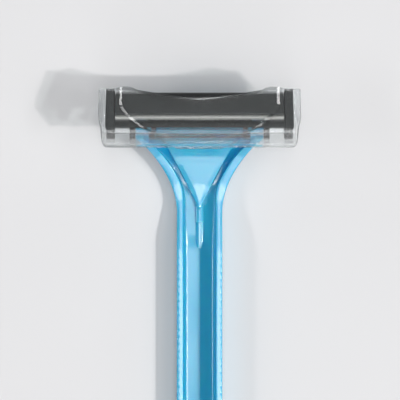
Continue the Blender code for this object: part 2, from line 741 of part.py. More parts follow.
def main():
    for thing in list(bpy.data.objects):
        bpy.data.objects.remove(thing, do_unlink=True)
    parts = make_collection("disposable_razor")
    cutters = make_collection("cutters")
    blue = make_material("handle_blue", (0.24, 0.66, 0.86), 0.3)
    black = make_material("head_black", (0.03, 0.03, 0.033), 0.45)
    steel = make_material("blade_steel", (0.62, 0.62, 0.6), 0.25, metallic=1.0)
    clear = make_material("cap_clear", (0.9, 0.93, 0.94), 0.1, alpha=0.3)
    head = bpy.data.objects.new("head_frame", None)
    parts.objects.link(head)
    head.location = (0.0, HEAD_Y, HEAD_Z)
    head.rotation_euler = (-HEAD_TILT, 0.0, 0.0)
    make_handle(parts, cutters, head, blue)
    for piece in (
        make_seat(parts, cutters, head, black),
        make_blade(parts, cutters, head, steel),
        make_top_cover(parts, cutters, head, black),
        make_protective_cap(parts, cutters, head, clear),
    ):
        shade(piece)


main()
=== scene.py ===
# %% [markdown]
# A disposable razor, seen from above
#
# The razor is five moulded or stamped pieces: a light blue handle shaped like a gutter, a black blade
# block, one strip of steel, a black cover that clamps it, and a clear travel cap. The CAD model gives
# their sizes, places and motion. This notebook gives them their finished surfaces: round edges, grip
# notches, the raised shield of the cap, and the plastics and steel that they are made of.
#
# First the CAD model is opened.

import math

import bmesh
import bpy
import numpy as np
from mathutils import Matrix, Vector


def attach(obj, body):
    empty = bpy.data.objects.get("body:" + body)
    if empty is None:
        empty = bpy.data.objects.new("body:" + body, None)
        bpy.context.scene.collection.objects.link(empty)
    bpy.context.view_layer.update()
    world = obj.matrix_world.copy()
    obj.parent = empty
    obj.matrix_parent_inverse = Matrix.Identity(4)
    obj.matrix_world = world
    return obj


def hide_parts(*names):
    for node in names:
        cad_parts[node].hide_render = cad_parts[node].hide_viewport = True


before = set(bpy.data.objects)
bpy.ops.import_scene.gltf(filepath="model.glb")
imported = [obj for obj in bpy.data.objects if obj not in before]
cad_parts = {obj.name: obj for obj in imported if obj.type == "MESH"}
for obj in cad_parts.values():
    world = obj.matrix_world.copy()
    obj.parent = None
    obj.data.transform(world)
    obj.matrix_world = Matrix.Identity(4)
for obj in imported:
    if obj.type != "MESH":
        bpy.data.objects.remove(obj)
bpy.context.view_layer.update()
print("CAD nodes:", sorted(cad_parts))

# %% [markdown]
# Units and small helpers
#
# Small plastic parts are drawn in millimetres, so every size below is in millimetres. One function
# brings finished points to metres, Blender's own unit.
#
# A skin is a grid of points with a quad between each four neighbours. Where two edges of a grid meet,
# as under the middle of the handle, their points are welded, so that the skin is closed and has one
# outside. The piece then rides on the CAD body that carries it, and the CAD node it covers is hidden.

# %% Helpers for skins and pieces
# Metres in a millimetre, and metres within which two points are one
MM = 0.001
WELD = 1e-6


def grid_faces(rows, columns):
    """A quad for each cell of a grid whose points are numbered row by row."""
    corner = np.arange(rows - 1)[:, None] * columns + np.arange(columns - 1)[None, :]
    quads = np.stack([corner, corner + 1, corner + columns + 1, corner + columns], axis=2)
    return quads.reshape(-1, 4)


def add_object(name, data):
    """A new object with this mesh, lamp or camera, at the origin of the scene."""
    thing = bpy.data.objects.new(name, data)
    bpy.context.scene.collection.objects.link(thing)
    return thing


def make_piece(name, points, faces, body, node, material, sharp_degrees=180.0):
    """A mesh piece from points in millimetres, welded, turned outwards, put on its body, with its CAD node
    hidden.
    """
    mesh = bpy.data.meshes.new(name)
    mesh.from_pydata((points * MM).tolist(), [], [list(map(int, face)) for face in faces])
    shape = bmesh.new()
    shape.from_mesh(mesh)
    bmesh.ops.remove_doubles(shape, verts=shape.verts, dist=WELD)
    bmesh.ops.dissolve_degenerate(shape, edges=shape.edges, dist=WELD)
    bmesh.ops.recalc_face_normals(shape, faces=shape.faces)
    open_edges = sum(1 for edge in shape.edges if not edge.is_manifold)
    volume = shape.calc_volume(signed=True) / MM**3
    shape.to_mesh(mesh)
    shape.free()
    mesh.shade_smooth()
    if sharp_degrees < 180.0:
        mesh.set_sharp_from_angle(angle=math.radians(sharp_degrees))
    mesh.materials.append(material)
    piece = add_object(name, mesh)
    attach(piece, body)
    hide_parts(node)
    print(f"{name}: {len(mesh.polygons)} faces, {volume:.1f} mm3, {open_edges} open edges")
    return piece


print("a grid of 3 rows and 4 columns has", len(grid_faces(3, 4)), "faces")

# %% [markdown]
# Plastics and steel
#
# A finish starts from the real material. Its colour is picked as a screen hex value, which is sRGB, so
# it is turned to the linear numbers that the renderer counts in. Patterns such as a mould's fine skin
# or the lines of a grinding wheel are noise on Object coordinates. A noise texture's scale says how
# many features fit in a metre, so it is 1000 divided by the size of one feature in millimetres.

# %% Helpers for materials
def linear(hex_colour):
    """An sRGB hex colour as linear RGBA: the lowest part is a straight line, the rest a power."""
    channels = np.array([int(hex_colour[i : i + 2], 16) for i in (1, 3, 5)]) / 255.0
    curve = np.where(channels <= 0.04045, channels / 12.92, ((channels + 0.055) / 1.055) ** 2.4)
    return (*curve.tolist(), 1.0)


def per_metre(feature_mm):
    """A texture scale at which one feature is this many millimetres long."""
    return 1.0 / (feature_mm * MM)


def new_material(name):
    """A node material, its tree, and the Object coordinates that its patterns follow."""
    material = bpy.data.materials.new(name)
    material.use_nodes = True
    tree = material.node_tree
    tree.nodes.clear()
    return material, tree, add_node(tree, "TexCoord").outputs["Object"]


def add_node(tree, kind, settings=None, links=None):
    """Adds a shader node. Settings name its inputs or its own properties. Links name its inputs and
    their sources: an output, or a node whose first output is meant."""
    node = tree.nodes.new("ShaderNode" + kind)
    for key, value in (settings or {}).items():
        if isinstance(key, int) or key in node.inputs:
            node.inputs[key].default_value = value
        else:
            setattr(node, key, value)
    for key, source in (links or {}).items():
        output = source if isinstance(source, bpy.types.NodeSocket) else source.outputs[0]
        tree.links.new(output, node.inputs[key])
    return node


def finish_solid(tree, colours, cloud, roughness, wave, relief, height, settings):
    """Ties patterns to a solid finish: cloud blends the two colours, wave runs the roughness between
    its two values, and height raises a bump of the given (strength, depth in millimetres)."""
    tint = add_node(tree, "Mix", {"data_type": "RGBA", 6: linear(colours[0]), 7: linear(colours[1])},
                    {"Factor": cloud})
    gloss = add_node(tree, "MapRange", {"To Min": roughness[0], "To Max": roughness[1]}, {"Value": wave})
    bump = add_node(tree, "Bump", {"Strength": relief[0], "Distance": relief[1] * MM}, {"Height": height})
    shader = add_node(tree, "BsdfPrincipled", settings,
                      {"Base Color": tint.outputs[2], "Roughness": gloss, "Normal": bump})
    add_node(tree, "OutputMaterial", None, {"Surface": shader})


print("a screen grey of #808080 is", round(linear("#808080")[0], 3), "in linear numbers")

# %% [markdown]
# Light blue handle plastic
#
# Handles like this are injection moulded from polystyrene or polypropylene with a light blue pigment.
# Light sinks in a little, so shadows inside the gutter stay a deep, clear blue: a flat paint would
# look dry here, so subsurface scattering is used. The mould's polished walls give a wet gloss, so the
# specular level is 1, above the usual 0.5. They also leave a faint waviness about a millimetre long,
# and the gloss is a little uneven from handling.

# %% Handle plastic
handle_plastic, tree, place = new_material("moulded_blue_polystyrene")
cloud = add_node(tree, "TexNoise", {"Scale": per_metre(9.0), "Detail": 3.0}, {"Vector": place})
wave = add_node(tree, "TexNoise", {"Scale": per_metre(1.3), "Detail": 2.0}, {"Vector": place})
skin = add_node(tree, "TexNoise", {"Scale": per_metre(0.22), "Detail": 2.0}, {"Vector": place})
both = add_node(tree, "Math", {"operation": "MULTIPLY_ADD", 1: 0.25}, {0: skin, 2: wave})
finish_solid(tree, ("#30ADD1", "#36B0D3"), cloud, (0.13, 0.18), wave, (0.03, 0.04), both, {
    "IOR": 1.59,
    "Specular IOR Level": 1.0,
    "Subsurface Weight": 0.85,
    "Subsurface Radius": (0.05, 0.7, 1.2),
    "Subsurface Scale": 2.4 * MM,
})
print("made", handle_plastic.name)

# %% [markdown]
# Black head plastic
#
# The blade block and its cover are moulded from black ABS or polystyrene. The tool's walls are spark
# eroded, which leaves a very fine matt grain, about 0.15 mm, and the cover is wiped smoother. The grain
# breaks the reflection of the room into a soft dark grey.

# %% Head plastic
def make_head_plastic(name, roughness, grain_depth):
    material, tree, place = new_material(name)
    grain = add_node(tree, "TexNoise", {"Scale": per_metre(0.15), "Detail": 3.0}, {"Vector": place})
    flow = add_node(tree, "TexNoise", {"Scale": per_metre(6.0), "Detail": 2.0}, {"Vector": place})
    finish_solid(tree, ("#0E1011", "#141617"), flow, (roughness - 0.06, roughness + 0.06), flow,
                 (0.35, grain_depth), grain, {"IOR": 1.54, "Specular IOR Level": 0.35})
    return material


block_plastic = make_head_plastic("spark_grained_black_abs", 0.42, 0.012)
cover_plastic = make_head_plastic("smooth_black_abs", 0.30, 0.005)
print("made", block_plastic.name, "and", cover_plastic.name)

# %% [markdown]
# Ground blade steel
#
# A razor strip is hardened stainless steel, ground with a wheel that runs along the edge. The wheel
# leaves lines along the strip, much finer than the render can show, so they are drawn 0.08 mm apart
# and very long: the noise is stretched along X by a Mapping node.

# %% Blade steel
blade_steel, tree, place = new_material("ground_stainless_steel")
stretched = add_node(tree, "Mapping", {"Scale": (0.02, 1.0, 1.0)}, {"Vector": place})
lines = add_node(tree, "TexNoise", {"Scale": per_metre(0.08), "Detail": 3.0}, {"Vector": stretched})
finish_solid(tree, ("#E2DFDB", "#EEEBE7"), lines, (0.34, 0.46), lines, (0.3, 0.004), lines,
             {"Metallic": 1.0})
print("made", blade_steel.name)

# %% [markdown]
# Clear cap plastic
#
# The travel cap is moulded from clear polystyrene, as stiff and bright as glass but with a higher
# bend of light, about 1.59. It is a real wall here, with an inside and an outside, so its edges gather
# light by themselves. Two fifths of it is plain see-through, which keeps the head behind it as easy to
# read as in a thin wall. A renderer finds it hard to send lamp light through two bent faces, so for
# shadow rays alone the wall is a slightly grey film. The mould's flow leaves long, very shallow waves
# in the wall, which show as faint streaks across the black cover.

# %% Clear plastic
clear_plastic, tree, place = new_material("clear_moulded_polystyrene")
streaks = add_node(tree, "Mapping", {"Scale": (1.0, 0.12, 0.12)}, {"Vector": place})
wave = add_node(tree, "TexNoise", {"Scale": per_metre(3.5), "Detail": 2.0}, {"Vector": streaks})
bump = add_node(tree, "Bump", {"Strength": 0.10, "Distance": 0.05 * MM}, {"Height": wave})
gloss = add_node(tree, "MapRange", {"To Min": 0.02, "To Max": 0.07}, {"Value": wave})
wall = add_node(tree, "BsdfPrincipled", {
    "Base Color": linear("#F7FAFA"),
    "IOR": 1.59,
    "Transmission Weight": 1.0,
}, {"Roughness": gloss, "Normal": bump})
see_through = add_node(tree, "BsdfTransparent", {"Color": linear("#FDFEFE")})
thin = add_node(tree, "MixShader", {0: 0.40}, {1: wall, 2: see_through})
film = add_node(tree, "BsdfTransparent", {"Color": linear("#CDD2D1")})
is_shadow = add_node(tree, "LightPath").outputs["Is Shadow Ray"]
both = add_node(tree, "MixShader", None, {0: is_shadow, 1: thin, 2: film})
add_node(tree, "OutputMaterial", None, {"Surface": both})
print("made", clear_plastic.name)

# %% [markdown]
# The handle
#
# The grip is a gutter, open upwards, with a round closed tail. Near the head it widens into a fork: its
# two rims run out as arms and climb to the head, and a raised panel fills the space between them. The
# rims of the grip carry small notches for the fingers.
#
# It could be cut from a block with Booleans, as the CAD model is. Here it is one skin: a profile that
# starts under the middle, goes out, up the side, over the rim, down into the gutter and in to the
# middle again, and is carried along the handle and round its tail. So every edge can have its own
# small radius, and the light runs along it unbroken.
#
# The main sizes repeat the CAD model's own, in millimetres. The fine radii, the notches and the shape
# of the gutter's floor are this skin's own.

# %% Handle sizes
WAIST_Y = 30.0
TAIL_Y = -57.5
GRIP_HALF = 5.1
RIM_HEIGHT = 6.1
RIM_WIDTH = 1.45
RIM_SWELL = 0.80
SWELL_Y = (30.0, 37.0, 42.0, 48.0)
GRIP_FLOOR = 1.2
FLOOR_LIFT = 0.45
LIFT_Y = (0.0, 20.0)
BELLY_RADIUS = 2.1
SHOULDER_RADIUS = 0.4
RIM_EDGE_RADIUS = 0.25
WALL_DRAFT = 0.02
TAIL_FULLNESS = 2.5
GRIP_BOWL = (1.15, 1.15)
NECK_BOWL = (0.5, 0.7)
FLOOR_TILT = math.radians(14.0)
FLOOR_POWER = 1.15
FLAT_FLOOR_Y = (33.0, 38.0)
NECK_END_Y = 49.5
NECK_FLARE = 0.0315
ARM_HALF = 14.0
NECK_DIP = 2.2
NECK_Y = (21.0, 33.5)
CLIMB_START_Y = 34.5
CLIMB_RATE = 0.034
ARM_CLIMB_START_Y = 40.0
ARM_CLIMB_RATE = 0.017
BELLY_CLIMB_RATE = 0.003
CHANNEL_DEPTH = 2.7
TAIL_CENTRE_Y = TAIL_Y + GRIP_HALF

# Where the head's frame lies, and how far under the shaving face the neck ends
HEAD_Y = 52.85
HEAD_Z = 16.2
HEAD_TILT = math.radians(22.0)
LANDING_DEPTH = 5.2
print("grip", 2 * GRIP_HALF, "mm wide, handle", NECK_END_Y - TAIL_Y, "mm long")

# %% [markdown]
# Each height is a formula of the distance along the handle. The rims are level, dip by 2.2 mm at the
# waist in a smooth S, and climb to the head as a square and then a cube of the distance. The underside
# climbs more gently. The gutter's floor keeps a fixed height in the grip and a fixed depth below the
# rims in the neck. The head lands on a sloped plane, which cuts the arms off.

# %% Heights along the handle
def smooth_step(t):
    """0 before t = 0, 1 after t = 1, and 3 t^2 - 2 t^3, a smooth S, between them."""
    t = np.clip(t, 0.0, 1.0)
    return t * t * (3.0 - 2.0 * t)


def ramp(y, limits):
    """0 before the first limit, 1 after the second, and a smooth S between them."""
    return smooth_step((y - limits[0]) / (limits[1] - limits[0]))


def climb(y, start, rate, power):
    """rate times the distance past start, raised to a power; 0 before start."""
    return rate * np.clip(y - start, 0.0, None) ** power


def half_width(y):
    """Level in the grip, then wider with the square of the distance past the waist."""
    return np.minimum(GRIP_HALF + climb(y, WAIST_Y, NECK_FLARE, 2), ARM_HALF)


def neck_share(y):
    """0 in the grip and 1 in the neck."""
    return ramp(y, NECK_Y)


def fork_climb(y, cube_rate):
    """A square of the distance up the fork, plus a cube of the distance up the arms."""
    return climb(y, CLIMB_START_Y, CLIMB_RATE, 2) + climb(y, ARM_CLIMB_START_Y, cube_rate, 3)


def rim_top(y):
    """Level, less the dip at the waist, plus the climb."""
    return RIM_HEIGHT - NECK_DIP * neck_share(y) + fork_climb(y, ARM_CLIMB_RATE)


def belly(y):
    """On the table, then a gentler climb."""
    return fork_climb(y, BELLY_CLIMB_RATE)


def gutter_floor(y):
    """A nearly fixed height in the grip, and a fixed depth below the rims in the neck."""
    share = neck_share(y)
    grip = GRIP_FLOOR + FLOOR_LIFT * ramp(y, LIFT_Y)
    return (1.0 - share) * grip + share * (rim_top(y) - CHANNEL_DEPTH)


def rim_width(y):
    """The rims swell a little where the fork opens."""
    return RIM_WIDTH + RIM_SWELL * ramp(y, SWELL_Y[:2]) * (1.0 - ramp(y, SWELL_Y[2:]))


def landing_plane(y):
    """Height of the plane under the head: parallel to the shaving face, LANDING_DEPTH below it."""
    start_y = HEAD_Y - LANDING_DEPTH * math.sin(HEAD_TILT)
    start_z = HEAD_Z - LANDING_DEPTH * math.cos(HEAD_TILT)
    return start_z - (y - start_y) * math.tan(HEAD_TILT)


print("rims dip to", round(float(rim_top(np.array(NECK_Y[1]))), 2), "mm at the waist")

# %% [markdown]
# The profile is made of short runs: straight ones, and arcs with their own radius. The first run goes
# from under the middle to the top of the rim.

# %% Profile outside the gutter
def arc(centre_across, centre_up, radius, first, last, count):
    """(across, up) of a circle's arc from the first to the last angle, one row for each station."""
    angles = np.radians(np.linspace(first, last, count))
    return centre_across + radius * np.cos(angles), centre_up + radius * np.sin(angles)


def straight(start, end, shares):
    """(across, up) of points that lie these shares of the way from start to end."""
    return [a + (b - a) * np.array(shares) for a, b in zip(start, end)]


def in_order(*runs):
    """Several runs of (across, up) as one."""
    return [np.concatenate(part, axis=1) for part in zip(*runs)]


def outer_runs(y):
    """From under the middle, out round the belly's corner, up the side and over the shoulder."""
    width = half_width(y)
    low = belly(y)
    high = rim_top(y)
    belly_edge = width - BELLY_RADIUS
    side_low = low + BELLY_RADIUS
    side_high = high - SHOULDER_RADIUS
    return in_order(
        straight((0.0 * y, low), (belly_edge, low), (0.0, 0.5)),
        arc(belly_edge, side_low, BELLY_RADIUS, -90.0, 0.0, 8),
        straight((width, side_low), (width, side_high), (0.25, 0.5, 0.75)),
        arc(width - SHOULDER_RADIUS, side_high, SHOULDER_RADIUS, 0.0, 90.0, 9),
    )


print("outside run:", outer_runs(np.array([[0.0]]))[0].shape[1], "points")

# %% [markdown]
# The second run goes over the rim's inner edge and down the wall. The gutter's floor is a shallow
# bowl, a little like a V, so that one half of it faces the light and the other lies in shade.

# %% Profile of the gutter
def gutter_runs(y):
    """From the rim's inner edge down the leaning wall and round a corner to the floor's edge.

    The floor's height grows with the distance from the middle to the power FLOOR_POWER, and it meets
    the corner at FLOOR_TILT. Under the fork the bowl fades to a flat floor. The factor in that power
    law is returned too."""
    share = neck_share(y)
    high = rim_top(y)
    floor = gutter_floor(y)
    tilt = FLOOR_TILT * (1.0 - ramp(y, FLAT_FLOOR_Y))
    bowl_across = (1.0 - share) * GRIP_BOWL[0] + share * NECK_BOWL[0]
    bowl_up = (1.0 - share) * GRIP_BOWL[1] + share * NECK_BOWL[1]
    mouth = half_width(y) - rim_width(y)
    foot = mouth - WALL_DRAFT * (high - floor)
    flat_edge = foot - bowl_across * (1.0 - np.sin(tilt))
    curve = np.tan(tilt) / (FLOOR_POWER * flat_edge ** (FLOOR_POWER - 1.0))
    corner = floor + curve * flat_edge**FLOOR_POWER + bowl_up * np.cos(tilt)
    turn = np.linspace(0.0, 1.0, 10) * (0.5 * math.pi - tilt)
    bowl_x = foot - bowl_across + bowl_across * np.cos(turn)
    bowl_z = corner - bowl_up * np.sin(turn)
    edge_up = high - RIM_EDGE_RADIUS
    return in_order(
        straight((mouth, high), (half_width(y) - SHOULDER_RADIUS, high), (0.5,)),
        arc(mouth + RIM_EDGE_RADIUS, edge_up, RIM_EDGE_RADIUS, 90.0, 180.0, 5),
        straight((mouth, edge_up), (foot, corner), (0.3, 0.7)),
        (bowl_x, bowl_z),
    ), curve


print("gutter run:", gutter_runs(np.array([[0.0]]))[0][0].shape[1], "points")

# %% [markdown]
# The last run goes across the floor to the middle. The raised panel, its brow and the low tongue in
# front of it are steps in this run. Where there is no panel, its points stay in place with no height,
# so that every station has the same points.

# %% Profile of the floor
PANEL_TIP_Y = 30.6
PANEL_OPENING = 0.48
PANEL_FLARE = 0.003
PANEL_HALF = 10.4
PANEL_HEIGHT = 1.7
PANEL_SIDE = 0.25
PANEL_SIDE_SHARE = 0.3
PANEL_BROW = 1.1
PANEL_BROW_SHARE = 0.5
BROW_DROP = 0.1
PANEL_TIP_RUN = 0.8
PANEL_MIN = 0.1

TONGUE_HALF = 0.85
TONGUE_POINT_HALF = 0.5
TONGUE_FLARE = 0.25
TONGUE_LEAST_HALF = 0.3
TONGUE_SIDE = 0.12
TONGUE_HEIGHT = 0.75
TONGUE_LOW_HEIGHT = 0.45
TONGUE_STEP_Y = 28.0
TONGUE_END_Y = 22.2
TONGUE_FADE = 0.3

FLOOR_ACROSS = np.array([0.83, 0.66, 0.5, 0.33, 0.16])
STEP_SPREAD = 0.2
SIDE_ACROSS = np.array([0.12, 0.88, 1.0])
SIDE_UP = np.array([0.04, 0.93, 1.0])
BROW_ACROSS = np.array([0.08, 0.92, 1.0])
BROW_UP = np.array([0.08, 0.95, 1.0])
TONGUE_SHARES = np.array([0.0] * 6 + [0.06, 0.94] + [1.0] * 10)


def floor_runs(y, flat_edge, curve):
    """Across the floor to the middle: over the tongue's step, then up the panel and its brow.

    The panel's half width grows in a straight line plus a square of the distance from its tip."""
    run = y - PANEL_TIP_Y
    base = PANEL_OPENING * run + climb(y, PANEL_TIP_Y, PANEL_FLARE, 2)
    base = np.clip(base, PANEL_MIN, PANEL_HALF)
    side = np.minimum(PANEL_SIDE, PANEL_SIDE_SHARE * base)
    brow = np.minimum(PANEL_BROW, PANEL_BROW_SHARE * base)
    rise = PANEL_HEIGHT * smooth_step(run / PANEL_TIP_RUN)
    brow_rise = rise * (1.0 - BROW_DROP / PANEL_HEIGHT)

    outer = np.minimum(TONGUE_HALF, TONGUE_POINT_HALF + TONGUE_FLARE * (y - TONGUE_END_Y))
    outer = np.maximum(outer, TONGUE_LEAST_HALF)
    tongue = np.where(y > TONGUE_STEP_Y, TONGUE_HEIGHT, TONGUE_LOW_HEIGHT)
    tongue = tongue * smooth_step((y - TONGUE_END_Y) / TONGUE_FADE)
    tongue = tongue * (1.0 - smooth_step((base - outer + 2.0 * TONGUE_SIDE) / TONGUE_SIDE))
    foot = np.maximum(outer, base + 0.5 * PANEL_MIN)
    top = np.maximum(outer - TONGUE_SIDE, base + 0.3 * PANEL_MIN)
    spread = STEP_SPREAD * (foot - top)

    crest = base - side - brow
    across = np.concatenate([
        foot + (flat_edge - foot) * FLOOR_ACROSS,
        foot + spread, foot, top, top - spread, base,
        base - side * SIDE_ACROSS,
        base - side - brow * BROW_ACROSS,
        0.5 * crest, 0.0 * y,
    ], axis=1)
    panel = np.concatenate([
        np.zeros((len(y), 10)),
        brow_rise * SIDE_UP,
        brow_rise + (rise - brow_rise) * BROW_UP,
        rise, rise,
    ], axis=1)
    bowl = curve * across**FLOOR_POWER
    return across, gutter_floor(y) + np.maximum(np.maximum(panel, tongue * TONGUE_SHARES), bowl)


print("floor run:", len(TONGUE_SHARES), "points")

# %% [markdown]
# The grip's notches are pressed into the finished profile, and the sloped plane under the head cuts
# its top off. Both are limits on the points, so no Boolean is needed.

# %% Notches and the whole profile
NOTCH_PITCH = 1.6
NOTCH_RADIUS = 0.55
NOTCH_DEPTH = 0.105
NOTCH_FIRST_Y = 20.0
NOTCH_LAST_Y = TAIL_Y + 9.5


def cut_notches(across, up, y):
    """Presses the rods of the grip notches into the shoulder.

    A rod lies across the shoulder at 45 degrees. At a distance u from its middle its surface stands
    sqrt(radius^2 - u^2) below its axis, and a point further out than that is moved in to it."""
    centre_across = GRIP_HALF - SHOULDER_RADIUS
    centre_up = RIM_HEIGHT - SHOULDER_RADIUS
    diagonal = math.sqrt(0.5)
    reach = diagonal * ((across - centre_across) + (up - centre_up))
    u = (y - NOTCH_FIRST_Y + 0.5 * NOTCH_PITCH) % NOTCH_PITCH - 0.5 * NOTCH_PITCH
    depth = np.sqrt(np.clip(NOTCH_RADIUS**2 - u**2, 0.0, None)) - (NOTCH_RADIUS - NOTCH_DEPTH)
    in_rows = (y < NOTCH_FIRST_Y + 0.5 * NOTCH_PITCH) & (y > NOTCH_LAST_Y - 0.5 * NOTCH_PITCH)
    limit = SHOULDER_RADIUS - np.where(in_rows, np.clip(depth, 0.0, None), 0.0)
    near = (across > centre_across - SHOULDER_RADIUS) & (up > centre_up - SHOULDER_RADIUS)
    excess = np.where(near & in_rows, np.clip(reach - limit, 0.0, None), 0.0)
    return across - diagonal * excess, up - diagonal * excess


def handle_profile(stations):
    """The three runs in order, with the notches, and no point above the landing plane."""
    y = stations[:, None]
    gutter, curve = gutter_runs(y)
    floor = floor_runs(y, gutter[0][:, -1:], curve)
    across, up = cut_notches(*in_order(outer_runs(y), gutter, floor), y)
    return across, np.minimum(up, landing_plane(y))


print("profile has", handle_profile(np.array([0.0]))[0].shape[1], "points")

# %% [markdown]
# The stations lie close together where the notches are, a tenth of a notch pitch, and further apart
# elsewhere. Round the tail the profile turns about a point on the middle line. The plan of the tail is
# a slightly square circle: cosine and sine are raised to the power 2 / 2.5.

# %% Handle skin
NOTCH_STATIONS = 10
GRIP_SPACING = 0.4
NECK_SPACING = 0.22
STEP_HALF = 0.06
TIP_SPACING = 0.1
TAIL_STATIONS = 22

# Places along the handle from the head to the tail's centre, closest at the notches
first = NOTCH_FIRST_Y + 0.5 * NOTCH_PITCH
last = NOTCH_LAST_Y - 0.5 * NOTCH_PITCH
steps = [TONGUE_STEP_Y - STEP_HALF, TONGUE_STEP_Y + STEP_HALF, PANEL_TIP_Y, PANEL_TIP_Y + TIP_SPACING]
stations = np.concatenate([
    np.sort(np.concatenate([np.arange(NECK_END_Y, first, -NECK_SPACING), steps]))[::-1],
    np.arange(first, last, -NOTCH_PITCH / NOTCH_STATIONS),
    np.arange(last, TAIL_CENTRE_Y, -GRIP_SPACING),
])

# The right half, row by row, then its mirror image; one face closes the head's end
across, up = handle_profile(stations)
turn = np.radians(np.linspace(0.0, 90.0, TAIL_STATIONS))[:, None]
tail_across, tail_up = handle_profile(np.full(TAIL_STATIONS, TAIL_CENTRE_Y))
narrow = np.cos(turn) ** (2.0 / TAIL_FULLNESS)
back = np.sin(turn) ** (2.0 / TAIL_FULLNESS)
narrow[-1] = 0.0
x = np.concatenate([across, tail_across * narrow])
y = np.concatenate([stations[:, None] + 0.0 * across, TAIL_CENTRE_Y - tail_across * back])
z = np.concatenate([up, tail_up])
right = np.stack([x, y, z], axis=2)
left = right[-2::-1] * np.array([-1.0, 1.0, 1.0])
skin = np.concatenate([right, left])
rows, columns = skin.shape[:2]
first_ring = list(range(columns))
last_ring = [(rows - 1) * columns + j for j in reversed(range(1, columns - 1))]
faces = grid_faces(rows, columns).tolist() + [first_ring + last_ring]
make_piece("handle_moulding", skin.reshape(-1, 3), faces, "razor", "handle",
           handle_plastic)

# %% [markdown]
# The head's own directions
#
# The head is tilted 22 degrees towards the tail. Its pieces are drawn in its own frame: x across, v up
# the shaving face, and z out of the face. One function turns such points into the razor's frame.
#
# Most of its parts are mouldings with one outline from end to end. So a helper carries an outline along
# x and closes its ends, and a Bevel modifier then rounds all the edges, as a mould does.

# %% Helpers for the head
SHARP_ANGLE = math.radians(32.0)

# Width in millimetres and number of segments of the round edges of each moulding
CHEEK_EDGE = (0.28, 4)
BAR_EDGE = (0.09, 2)
COVER_EDGE = (0.1, 2)


def join_shells(shells):
    """Several (points, faces) as one: each later shell's faces count on from the points before it."""
    points = np.concatenate([shell_points for shell_points, _ in shells])
    faces = []
    start = 0
    for shell_points, shell_faces in shells:
        faces += [[start + corner for corner in face] for face in shell_faces]
        start += len(shell_points)
    return points, faces


def from_head(points):
    """Points (x, v, z) of the head's frame in the razor's: turned by HEAD_TILT about x, then moved."""
    x, v, z = np.moveaxis(np.asarray(points, dtype=float), -1, 0)
    y = HEAD_Y + v * math.cos(HEAD_TILT) + z * math.sin(HEAD_TILT)
    up = HEAD_Z - v * math.sin(HEAD_TILT) + z * math.cos(HEAD_TILT)
    return np.stack([x, y, up], axis=-1)


def bar(outline, low, high):
    """An outline in v and z, carried along x from low to high, with both ends closed."""
    outline = np.array(outline, dtype=float)
    count = len(outline)
    ends = [np.column_stack([np.full(count, x), outline]) for x in (low, high)]
    faces = [[i, (i + 1) % count, count + (i + 1) % count, count + i] for i in range(count)]
    faces += [list(range(count))[::-1], list(range(count, 2 * count))]
    return np.concatenate(ends), faces


def block(x, half, front, back, low, high):
    """A block centred on x, between two places along v and two heights."""
    return bar([(front, low), (back, low), (back, high), (front, high)], x - half, x + half)


def quarter(centre, across, up, count):
    """Points of a quarter ellipse about a centre, from beside it to above it."""
    angles = np.linspace(0.0, 0.5 * math.pi, count)
    points = np.column_stack([centre[0] + across * np.cos(angles), centre[1] + up * np.sin(angles)])
    return points.tolist()


def make_head_piece(name, shells, node, material, edge=None, sharp_degrees=180.0):
    """Shells of the head's frame as one piece on the razor. An edge of (millimetres, segments) adds a
    Bevel modifier where faces meet at more than SHARP_ANGLE."""
    points, faces = join_shells(shells)
    piece = make_piece(name, from_head(points), faces, "razor", node, material, sharp_degrees)
    if edge:
        bevel = piece.modifiers.new("moulded_edges", "BEVEL")
        bevel.width = edge[0] * MM
        bevel.segments = edge[1]
        bevel.limit_method = "ANGLE"
        bevel.angle_limit = SHARP_ANGLE
        bevel.harden_normals = True


print("middle of the shaving face:", from_head([0.0, 0.0, 0.0]).tolist(), "mm")

# %% [markdown]
# The blade block
#
# One black moulding holds everything: two end cheeks, the sloped seat for the blade, a guard bar in
# front that stretches the skin, thin bridges that carry it across the rinse gap, and a foot that is
# pressed on to the neck, with a bar, ribs and two lugs in front. The shapes are plain, so each is an
# outline carried along x, and loops place those that repeat.

# %% Sizes of the head
FIT_GAP = 0.3
BLADE_GAP = 0.15
HEAD_HALF = 20.45
FACE_HALF = 4.6
CHEEK_THICKNESS = 2.0
CHEEK_INNER = HEAD_HALF - CHEEK_THICKNESS
CHEEK_ROUND = 0.35
CHEEK_UNDERCUT = 1.2
CHEEK_HEEL_V = 1.5
FOOT_DEPTH = 4.9
FOOT_THICKNESS = 1.3
FOOT_FRONT = -FACE_HALF - 0.3
FOOT_TOP = FOOT_THICKNESS - FOOT_DEPTH
TOE_WIDTH = 0.7
SOLE_THICKNESS = 0.6
POST_SETBACK = 0.1
SEAT_DEPTH = 3.2
# The seat's hanging lip, whose black stands in for the shade seen down through the rinse gap
SEAT_LIP = 3.8
SEAT_LIP_ROOT = 0.8
SEAT_LIP_WIDTH = 0.6
SEAT_BACK = 4.1
SEAT_BACK_STEP = 2.5
SEAT_NOSE_SETBACK = 0.45
GUARD_FRONT = -FACE_HALF - 0.1
GUARD_WIDTH = 1.7
GUARD_DEPTH = 1.6
GUARD_CROWN = ((0.0, -0.25), (0.3, -0.14), (0.6, -0.125), (GUARD_WIDTH, -0.5))
BRIDGE_COUNT = 9
BRIDGE_WIDTH = 0.7
BRIDGE_START = 0.9
BRIDGE_BITE = 0.4
BRIDGE_LOW = -1.95
BRIDGE_HIGH = -1.25
MOUNT_HALF = 11.1
BITE = 0.45
CHEEK_BITE = 1.0

# x and width of the two ribs and then the two lugs in front of the mount
FOOT_ARMS = ((-10.0, 1.1), (10.0, 1.1), (-14.65, 1.3), (14.65, 1.3))

